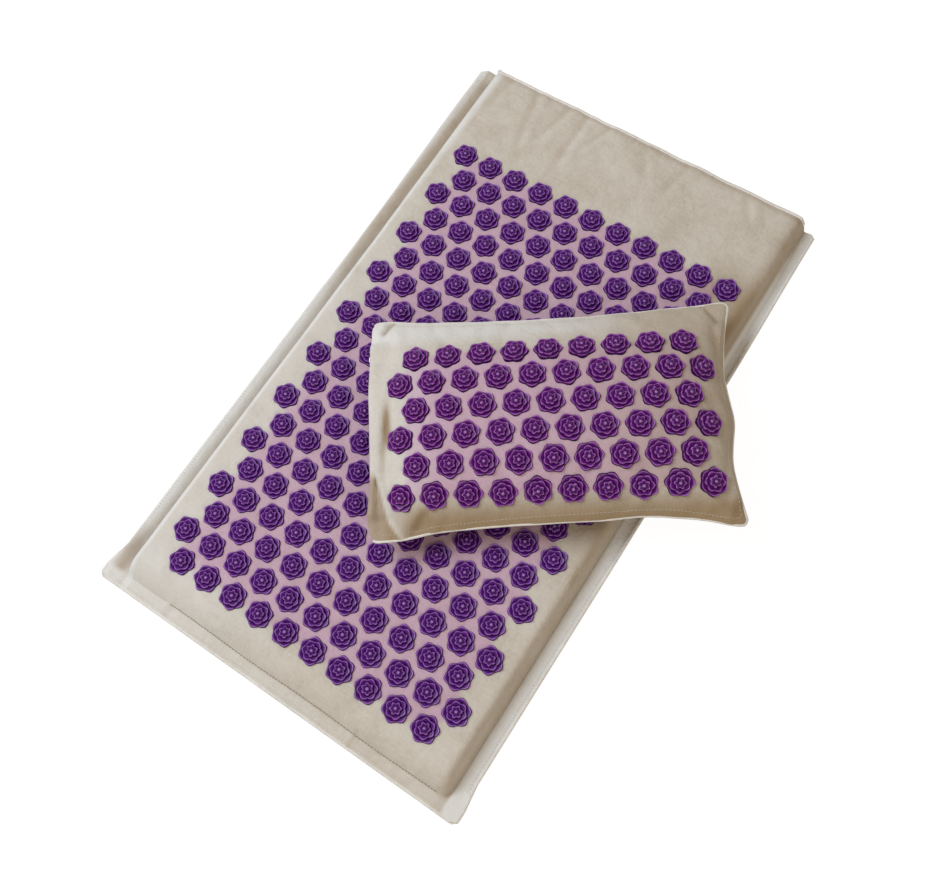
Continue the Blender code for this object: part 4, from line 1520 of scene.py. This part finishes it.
# Presses the dents in and gives each point's painted shade: on the near side, the right end, in
# dents, creases and the trough beside the zip
def pressDents(spots):
    flat = spots[:, :2]
    u = spots[:, 0] / pillowHalfLong
    v = spots[:, 1] / pillowHalfWide
    level = spots[:, 2].copy()
    hold = ramp(u, -0.985, 0.02) * ramp(np.abs(v), 1, -0.03) * ramp(u, 1, -0.02)
    dark = ramp(v, *pillowShade["nearRamp"]) * pillowShade["near"] * ramp(u, -0.97, 0.25)
    dark = np.maximum(dark, ramp(u, *pillowShade["rightRamp"]) * pillowShade["right"])
    for middleU, middleV, reachU, reachV, depth, tint in pillowDents:
        close = ridge(u, middleU, reachU) * ridge(v, middleV, reachV)
        level -= depth * close * hold
        dark += tint * close * pillowShade["dents"]
    half = np.array((pillowHalfLong, pillowHalfWide))
    for start, end, width, depth, tint in pillowCreases:
        first, last = np.array(start) * half, np.array(end) * half
        run = last - first
        share = np.clip((flat - first) @ run / (run @ run), 0, 1)
        close = ridge(np.linalg.norm(flat - first - share[:, None] * run, axis=1), 0, width)
        level -= depth * close * hold
        dark += tint * close
    troughU, troughV = zip(*pillowTrough)
    inward = (u - np.interp(-v, [-value for value in troughV], troughU)) * pillowHalfLong
    trough = ramp(v, *pillowShade["troughRamp"])
    inside = ease(0.5 - inward / pillowShade["troughEdge"]) * trough
    lip = ridge(inward, 0.003, 0.0025) * trough
    level -= np.minimum(pillowShade["troughSink"], level * 0.6) * inside * hold
    level += lip * pillowShade["lip"] * hold
    dark = dark * (1 - 0.8 * lip * (v < 0)) + inside * pillowShade["trough"]
    rumple = bumps(*flat.T, 38.0, 21.0) + 0.5 * bumps(*flat.T, 90.0, 22.0)
    level += rumple * pillow["rumple"] * hold
    spots[:, 2] = np.maximum(level, spots[:, 2] * 0.15)
    return np.clip(dark, 0, pillowShade["darkest"])


def pillowStations(half, crowding=pillow["edgeCrowding"]):
    count = round(2 * half / pillow["pitch"])
    even = np.linspace(-1, 1, count + 1)
    return np.sign(even) * (1 - (1 - np.abs(even)) ** crowding)


# How the case is blown up: its cloth and its air, then how long and how far
caseCloth = {
    "quality": 6,
    "mass": 0.25,
    "tension_stiffness": 12,
    "compression_stiffness": 12,
    "shear_stiffness": 4,
    "bending_stiffness": 0.25,
    "use_pressure": True,
    "uniform_pressure_force": 4.0,
    "shrink_min": -0.012,
    "vertex_group_mass": "held",
}
caseSwell = {
    "startDrop": 0.003,
    "frames": 20,
    "cap": 0.0035,
    "heldEnd": 0.0012,
    "heldRim": 0.00002,
}
casePieces = (
    ("caseTop", "pillowTopCover", "pillow_top_cover"),
    ("caseUnder", "pillowUnderCover", "pillow_bottom_cover"),
)


# One half of the case. Its first two columns are the hem that turns in beside the zip
def modelCaseHalf(sign, marks):
    uStations = pillowStations(pillowHalfLong)
    vStations = pillowStations(pillowHalfWide)
    hemClear = matCover["hemClear"]
    wall = hemClear + pillow["endHem"]
    hemHeights = np.array((hemClear, (hemClear + wall) / 2))

    def place(column, row):
        v = vStations[row]
        u = uStations[np.maximum(column - 2, 0)]
        zipShare = np.where(v < 0, pillow["zipNearShare"], pillow["zipShare"])
        opens = ramp(np.abs(v), zipShare + pillow["hemCloseShare"], -pillow["hemCloseShare"])
        along, across = pillowPlan(u, v)
        swell = np.maximum(swellOf(sign, u, v, caseSwell["startDrop"]), wall * opens)
        swell = np.where(column < 2, hemHeights[np.minimum(column, 1)] * opens, swell)
        wave = seamWave(along, across)
        across = across + wave * (np.abs(v) > 0.9) * np.abs(v) ** pillow["waveFade"]
        along = along + wave * (u > 0.9)
        isRim = (np.abs(v) > 0.999) | (u > 0.999)
        return np.stack([along, across, np.where(isRim, 0.0, sign * swell)], axis=1)

    half = layCloth("case", len(uStations) + 2, len(vStations), place, sign > 0)[0]
    for mark in marks:
        half.data.materials.append(mark)
    kind = 0 if sign > 0 else 1
    half.data.polygons.foreach_set("material_index", [kind] * len(half.data.polygons))
    return half


# The whole case as one closed form, to be blown up: top, underside and the zip's opening
def modelPillowCase():
    marks = [bpy.data.materials.new(label) for label in ("caseTop", "caseUnder", "caseOpening")]
    selectOnly(*[modelCaseHalf(sign, marks) for sign in (1, -1)])
    bpy.ops.object.join()
    case = bpy.context.object
    case.name = "pillowCase"
    mergeDoubles(case)
    startEdit(case, 'EDGE', 'DESELECT')
    shell = bmesh.from_edit_mesh(case.data)
    for edge in shell.edges:
        edge.select = edge.is_boundary
    shell.select_flush_mode()
    bpy.ops.mesh.edge_face_add()
    shell = bmesh.from_edit_mesh(case.data)
    opening = max(shell.faces, key=lambda face: len(face.verts))
    opening.material_index = 2
    bmesh.update_edit_mesh(case.data)
    endEdit()
    return case


def blowUp(case):
    rest = spotsOf(case.data)
    flatEnd = rest[:, 0] < caseSwell["heldEnd"] - pillowHalfLong
    rim = np.abs(rest[:, 2]) < caseSwell["heldRim"]
    held = [int(index) for index in np.nonzero(flatEnd | rim)[0]]
    case.vertex_groups.new(name=caseCloth["vertex_group_mass"]).add(held, 1.0, 'REPLACE')
    swell = case.modifiers.new("swell", 'CLOTH')
    for key, value in caseCloth.items():
        setattr(swell.settings, key, value)
    swell.settings.effector_weights.gravity = 0
    scene = bpy.context.scene
    for number in range(1, caseSwell["frames"] + 1):
        scene.frame_set(number)
    blown = case.evaluated_get(bpy.context.evaluated_depsgraph_get())
    move = spotsOf(blown.to_mesh()) - rest
    blown.to_mesh_clear()
    case.modifiers.remove(swell)
    scene.frame_set(1)
    length = np.linalg.norm(move, axis=1)
    print("pillow swelled by up to", round(float(length.max()) * 1000, 2), "mm")
    cap = caseSwell["cap"]  # what lies past it is held back softly
    share = np.where(length > 0, cap * np.tanh(length / cap) / np.maximum(length, 1e-9), 0)
    moveTo(case.data, rest + move * share[:, None])


# How much painted bounce light from the discs and how much painted light each point of the pillow's
# top gets
def topTints(spots):
    u = spots[:, 0] / pillowHalfLong
    v = spots[:, 1] / pillowHalfWide
    discSpots = [spot for row in pillowDiscSpots() for spot in row]
    blush = discBounceOf(spots, discSpots) * (1 - pillowShade["bounceLoss"] * ramp(u, -0.1, 1.1))
    # Painted light at the left end and along the far edge
    pale = pillowShade["paintedLightEnd"] * ramp(u, -0.55, -0.3)
    litFarEdge = pillowShade["paintedLightFar"] * ramp(v, 0.62, 0.2) * ramp(u, 0.6, -0.4)
    return blush, np.maximum(pale, litFarEdge)


def splitPillowCase(case, linen):
    startEdit(case)
    bpy.ops.mesh.separate(type='MATERIAL')
    endEdit()
    parts = {part.data.materials[0].name: part for part in bpy.context.selected_objects}
    bpy.data.objects.remove(parts["caseOpening"])
    pieces = []
    for label, name, node in casePieces:
        piece = parts[label]
        piece.name = name
        piece.data.name = name
        piece.vertex_groups.clear()
        addModifier(piece, 'SUBSURF', levels=1, render_levels=1)
        applyModifiers(piece)
        spots = spotsOf(piece.data)
        if label == "caseTop":
            blush, pale = topTints(spots)
            dark = pressDents(spots)
            moveTo(piece.data, spots)
        else:
            # The underside gets painted shade all over, as much as the near side
            blush, pale, dark = np.outer((0, 0, pillowShade["near"]), np.ones(len(spots)))
        pointAttributes(piece, blush=blush, pale=pale, shade=dark)
        thickenCloth(piece, cloth["thick"])
        piece.data.transform(pillowPlace)
        smoothBy(piece)
        finishPiece(piece, linen, "linen", "pillow", node)
        pieces.append(piece)
    return pieces


# Inner bag and husks, inside the cover by these distances
bagShape = {
    "endInset": 0.009,
    "sideInset": 0.007,
    "slack": 0.0004,
    "crowding": 1.2,
    "spacing": 0.6,
    "crumple": 0.0012,
    "fillEndInset": 0.008,
    "fillSideInset": 0.007,
    "fillRim": 0.0006,
    "fillSlack": 0.001,
}


# Keeps a filling piece between the inner faces of the cover
def keepInside(piece, covers, clear):
    top, under = [surfaceOf(cover) for cover in covers]
    spots = spotsOf(piece.data)
    for index, (x, y, z) in enumerate(spots):
        roof = top.ray_cast(Vector((x, y, rays["fromAbove"])), downwards)[0]
        ground = under.ray_cast(Vector((x, y, rays["fromBelow"])), upwards)[0]
        if roof is None or ground is None:
            continue
        ceiling = roof.z - cloth["thick"] - clear
        base = ground.z + cloth["thick"] + clear
        middle = (ceiling + base) / 2
        spots[index, 2] = min(max(z, min(base, middle)), max(ceiling, middle))
    moveTo(piece.data, spots)


# One half of the bag or of its filling
def layFilling(name, sign, halfLong, halfWide, rim, drop, grainScale, seed):
    uStations = pillowStations(pillowHalfLong * bagShape["spacing"], bagShape["crowding"])
    vStations = pillowStations(pillowHalfWide * bagShape["spacing"], bagShape["crowding"])

    def place(column, row):
        u, v = uStations[column], vStations[row]
        along, across = pillowPlan(u, v, halfLong, halfWide)
        grain = np.abs(bumps(along, across, grainScale, seed + sign)) * bagShape["crumple"]
        if name != "huskHalf":
            grain = grain * endShape(u) * sideShape(v)  # a panel lies smooth at its seam
        height = sign * (rim + np.maximum(0, swellOf(sign, u, v, drop) - grain))
        return np.stack([along, across, height], axis=1)

    return layCloth(name, len(uStations), len(vStations), place, sign > 0)[0]


def buildBag(calico, husks, covers):
    halfLong = pillowHalfLong - bagShape["endInset"]
    halfWide = pillowHalfWide - bagShape["sideInset"]
    drop = cloth["bagThick"] + cloth["gap"] + bagShape["slack"]
    for sign, name, node in ((1, "pillowBagUpper", "pillow_bag_upper"),
                             (-1, "pillowBagLower", "pillow_bag_lower")):
        piece = layFilling(name, sign, halfLong, halfWide, cloth["gap"] / 2, drop, 45.0, 14.0)
        piece.data.transform(pillowPlace)
        keepInside(piece, covers, cloth["bagThick"] + cloth["gap"])
        thickenCloth(piece, cloth["bagThick"])
        smoothBy(piece)
        finishPiece(piece, calico, "calico", "pillow", node)
    halfLong -= bagShape["fillEndInset"]
    halfWide -= bagShape["fillSideInset"]
    rim = bagShape["fillRim"] / 2
    drop += cloth["gap"] + bagShape["slack"] + rim + bagShape["fillSlack"]
    selectOnly(*[layFilling("huskHalf", sign, halfLong, halfWide, rim, drop, 160.0, 17.0)
                 for sign in (1, -1)])
    bpy.ops.object.join()
    piece = newPiece("pillowHusks")
    startEdit(piece, 'EDGE', 'DESELECT')
    bpy.ops.mesh.select_non_manifold()
    bpy.ops.mesh.bridge_edge_loops()
    bpy.ops.mesh.select_all(action='SELECT')
    bpy.ops.mesh.normals_make_consistent(inside=False)
    endEdit()
    piece.data.transform(pillowPlace)
    keepInside(piece, covers, 2 * cloth["bagThick"] + 3 * cloth["gap"])
    smoothBy(piece)
    finishPiece(piece, husks, "husks", "pillow", "pillow_filling")


# Rows of discs on both cloths, each disc turned by chance
def layDiscs(label, rows, master, tree, seed, turn, plastic, body):
    chance = random.Random(seed)
    for number, row in enumerate(rows):
        places = [seatOn(tree, spot, turn + chance.uniform(-disc["turnSpread"], disc["turnSpread"]))
                  for spot in row]
        piece = repeatPiece(f"{label}{number + 1:02d}", master, places)
        smoothBy(piece, disc["smoothDegrees"])
        finishPiece(piece, plastic, "violet_plastic", body)


def buildDiscs(matTree, pillowTree, matPlastic, pillowPlastic):
    master = modelDisc()
    pillowRows = [[pillowPlace @ Vector((*spot, 0)) for spot in row] for row in pillowDiscSpots()]
    layDiscs("matDiscs", matDiscSpots(), master, matTree, disc["matSeed"], 0, matPlastic, "mat")
    layDiscs("pillowDiscs", pillowRows, master, pillowTree, disc["pillowSeed"], pillow["turn"],
             pillowPlastic, "pillow")
    bpy.data.objects.remove(master)


def buildMatEdges(grid, tree, paleHemLitCloth, paleThread, brownThread):
    body = len(matAlong())
    line = np.concatenate([grid[0, :body][::-1], grid[1:-1, 0], grid[-1, :body]])
    line[:, :2] -= np.sign(line[:, :2]) * sewing["weltInset"]
    line[:, 2] = np.maximum(line[:, 2] - cloth["gap"] / 2, sewing["weltHigh"])
    welt = sweepHem("matRimWelt", line, sewing["weltWide"], sewing["weltHigh"])
    finishPiece(welt, paleHemLitCloth, "linen", "mat")
    farWelt = sewing["farWelt"]
    onPad = matAcross()[:, 3] > 0.5
    farLine = grid[onPad, body - 1] + np.array((0.0, -0.0002, farWelt * 0.5))
    welt = sweepHem("matFarWelt", farLine, farWelt, farWelt)
    finishPiece(welt, paleHemLitCloth, "linen", "mat")
    for label, first, second in (("Outer", 1, 2), ("Inner", 2, 3)):
        left = (grid[first, 9:body - 2] + grid[second, 9:body - 2]) / 2
        right = (grid[-1 - first, 9:body - 3] + grid[-1 - second, 9:body - 3]) / 2
        for side, points in (("Left", left), ("Right", right)):
            sewLine(f"mat{side}Stitches{label}", points, tree, paleThread, "mat")
    nearLine = grid[5:-5, 1] * 0.7 + grid[5:-5, 2] * 0.3
    sewLine("matNearStitches", nearLine, tree, paleThread, "mat")
    creaseFrom = nearTucks[0][0][0] - 0.004
    creaseLine = [(x, nearFoot + 0.0006 + 0.0006 * math.sin(x * 40), 0.004)
                  for x in np.linspace(creaseFrom, sideFoot - 0.008, 120)]
    sewLine("matCreaseStitches", creaseLine, tree, brownThread, "mat", sewing["creaseStitch"],
            sewing["creaseThread"])


# Along the near side, round the right end and back along the far side
def buildPillowEdges(tree, paleHemLitCloth, paleThread):
    steps = np.linspace(-1, 1, 90)
    ones = np.ones(len(steps))
    welt, inner = [], []
    shareLong, shareWide, lift = sewing["pillowLine"]
    for side, u, v in (("near", steps, -ones), ("right", ones, steps), ("far", steps[::-1], ones)):
        along, across = pillowPlan(u, v)
        inner += zip(along * shareLong, across * shareWide, ones * lift)
        wave = seamWave(along, across)
        if side == "right":
            along = along + wave
        else:
            across = across + wave
        skip = 1 if welt else 0  # a corner comes only once
        welt += list(zip(along, across, ones * 0))[skip:]
    points = [pillowPlace @ Vector(spot) for spot in welt]
    piece = sweepHem("pillowSeamWelt", points, sewing["pillowWeltWide"], sewing["pillowWeltHigh"])
    finishPiece(piece, paleHemLitCloth, "linen", "pillow")
    points = [pillowPlace @ Vector(spot) for spot in inner]
    sewLine("pillowStitches", points, tree, paleThread, "pillow")


# Zip coils: one thread wound along the tape's edge
coil = {
    "pitch": 0.0012,
    "wire": 0.0005,
    "deep": 0.0016,
    "turnPoints": 8,
}


def buildCoil(name, node, direction, body, nylon):
    low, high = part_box(node)
    middle = (low + high) / 2
    corners = [vertex.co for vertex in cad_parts[node].data.vertices]
    reach = [(corner - middle).dot(direction) for corner in corners]
    length = max(reach) - min(reach) - coil["wire"]
    halfHigh = (high.z - low.z) / 2 - coil["wire"] / 2
    halfDeep = coil["deep"] / 2 - coil["wire"] / 2
    out = upwards.cross(direction)
    count = int(length / coil["pitch"]) * coil["turnPoints"] + 1
    curve = bpy.data.curves.new(name, 'CURVE')
    curve.dimensions = '3D'
    curve.bevel_depth = coil["wire"] / 2
    curve.bevel_resolution = 0
    curve.use_fill_caps = True
    spline = curve.splines.new('POLY')
    spline.points.add(count - 1)
    for index in range(count):
        angle = index / coil["turnPoints"] * 2 * math.pi
        travel = (index / (count - 1) - 0.5) * length
        spot = (middle + direction * travel + out * halfDeep * math.cos(angle)
                + upwards * halfHigh * math.sin(angle))
        spline.points[index].co = (*spot, 1)
    selectOnly(linkNew(name, curve))
    bpy.ops.object.convert(target='MESH')
    piece = bpy.context.object
    smoothBy(piece)
    finishPiece(piece, nylon, "zip_coil", body, node)


def buildCoils(nylon):
    across = pillowPlace.to_3x3() @ Vector((0, 1, 0))
    for body, direction in (("mat", Vector((1, 0, 0))), ("pillow", across)):
        for label in ("upper", "lower"):
            buildCoil(f"{body}Coil{label.capitalize()}", f"{body}_zip_coil_{label}", direction,
                      body, nylon)


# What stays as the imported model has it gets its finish
def dressZips(tape, nickel):
    for name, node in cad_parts.items():
        if "zip_tape" in name:
            material = tape
        elif "stop" in name or "slider" in name or "pull" in name:
            material = nickel
        else:
            continue
        node.data.materials.clear()
        node.data.materials.append(material)


# Floor, white to the camera, that keeps a soft shadow, and the studio's light
studio = {
    "floorSize": 8.0,
    "floorLevel": -0.0004,
    "floorDiffuse": shade(0.15, 0.15, 0.15),
    "floorGlow": 0.94,
    "floorBounce": shade(0.75, 0.73, 0.70),
    "ambient": shade(1.0, 0.83, 0.61),
    "ambientStrength": 0.36,
    "keyPlace": (-1.3, -0.40, 1.80),
    "keySize": 1.25,
    "keyPower": 33.0,
    "keyColour": (0.89, 0.95, 1.0),
    "fillPlace": (1.25, -0.75, 0.90),
    "fillSize": 1.2,
    "fillPower": 5.2,
    "fillColour": (1.0, 0.96, 0.88),
}


def seenDirectly(finish):
    path = finish.node("LightPath", None, None, "Is Camera Ray")
    item = path.socket.node
    glossy = Wire(finish, item.outputs["Is Glossy Ray"])
    through = Wire(finish, item.outputs["Is Transmission Ray"])
    return path.most(glossy).most(through)


def buildStudio():
    selectOnly()
    bpy.ops.mesh.primitive_plane_add(size=studio["floorSize"],
                                     location=(0, 0, studio["floorLevel"]))
    floor = newPiece("floor")
    bakePlace(floor)
    finish = Finish("floor")
    tree = finish.tree
    tree.nodes.remove(finish.shader)
    seen = finish.node("BsdfDiffuse", None, {"Color": studio["floorDiffuse"]})
    glow = finish.node("Emission", None, {"Strength": studio["floorGlow"]})
    both = finish.node("AddShader", None, {0: seen, 1: glow})
    bounce = finish.node("BsdfDiffuse", None, {"Color": studio["floorBounce"]})
    mixed = finish.node("MixShader", None, {0: seenDirectly(finish), 1: bounce, 2: both})
    tree.links.new(mixed.socket, tree.nodes["Material Output"].inputs["Surface"])
    floor.data.materials.append(finish.material)

    world = bpy.data.worlds.new("studio")
    world.use_nodes = True
    bpy.context.scene.world = world
    sky = Wiring(world.node_tree)
    for item in list(sky.tree.nodes):
        sky.tree.nodes.remove(item)
    ambient = sky.node("Background", None, {"Color": studio["ambient"],
                                            "Strength": studio["ambientStrength"]})
    white = sky.node("Background", None, {"Color": shade(1, 1, 1), "Strength": 1.0})
    mixed = sky.node("MixShader", None, {0: seenDirectly(sky), 1: ambient, 2: white})
    sky.node("OutputWorld", None, {"Surface": mixed}, None)

    for name in ("key", "fill"):
        lamp = bpy.data.lights.new(name + "Light", 'AREA')
        lamp.size = studio[name + "Size"]
        lamp.energy = studio[name + "Power"]
        lamp.color = studio[name + "Colour"]
        light = linkNew(name + "Light", lamp)
        place = Vector(studio[name + "Place"])
        light.location = place
        light.rotation_euler = (-place).to_track_quat('-Z', 'Y').to_euler()
    bpy.context.scene.view_settings.view_transform = 'Standard'


addCamera()
print("finishes")
linen = makeLinen("linenCloth", shade(1, 1, 1))
# Welts: a paler, bluer linen for the pale hems, with painted light on them
paleHemLitCloth = makeLinen("hemClothPaintedLight", shade(1.24, 1.30, 1.40))
paleThread = makeThread("paleThread", shade(0.78, 0.75, 0.69), shade(0.52, 0.48, 0.41))
brownThread = makeThread("brownThread", shade(0.30, 0.20, 0.12), shade(0.12, 0.075, 0.04))
matPlastic = makeDiscPlastic("matDiscPlastic", shade(1, 1, 1))
pillowPlastic = makeDiscPlastic("pillowDiscPlastic", shade(1.15, 0.9, 0.92))
foam = makeFoam("foam")
calico = makeCalico("calico")
husks = makeHusks("huskFilling")
tape = makeZipTape("zipTape")
nylon = makeNylon("zipNylon")
nickel = makeNickel("zipNickel")

print("mat")
matTop, matGrid = buildMatTop(linen)
buildMatBottom(linen)
buildMatCore(foam)
matTree = surfaceOf(matTop)
buildMatEdges(matGrid, matTree, paleHemLitCloth, paleThread, brownThread)

print("pillow")
case = modelPillowCase()
blowUp(case)
pillowTop, pillowUnder = splitPillowCase(case, linen)
pillowTree = surfaceOf(pillowTop)
buildBag(calico, husks, (pillowTop, pillowUnder))
buildPillowEdges(pillowTree, paleHemLitCloth, paleThread)

print("discs")
buildDiscs(matTree, pillowTree, matPlastic, pillowPlastic)

print("zips")
buildCoils(nylon)
dressZips(tape, nickel)

print("studio")
buildStudio()
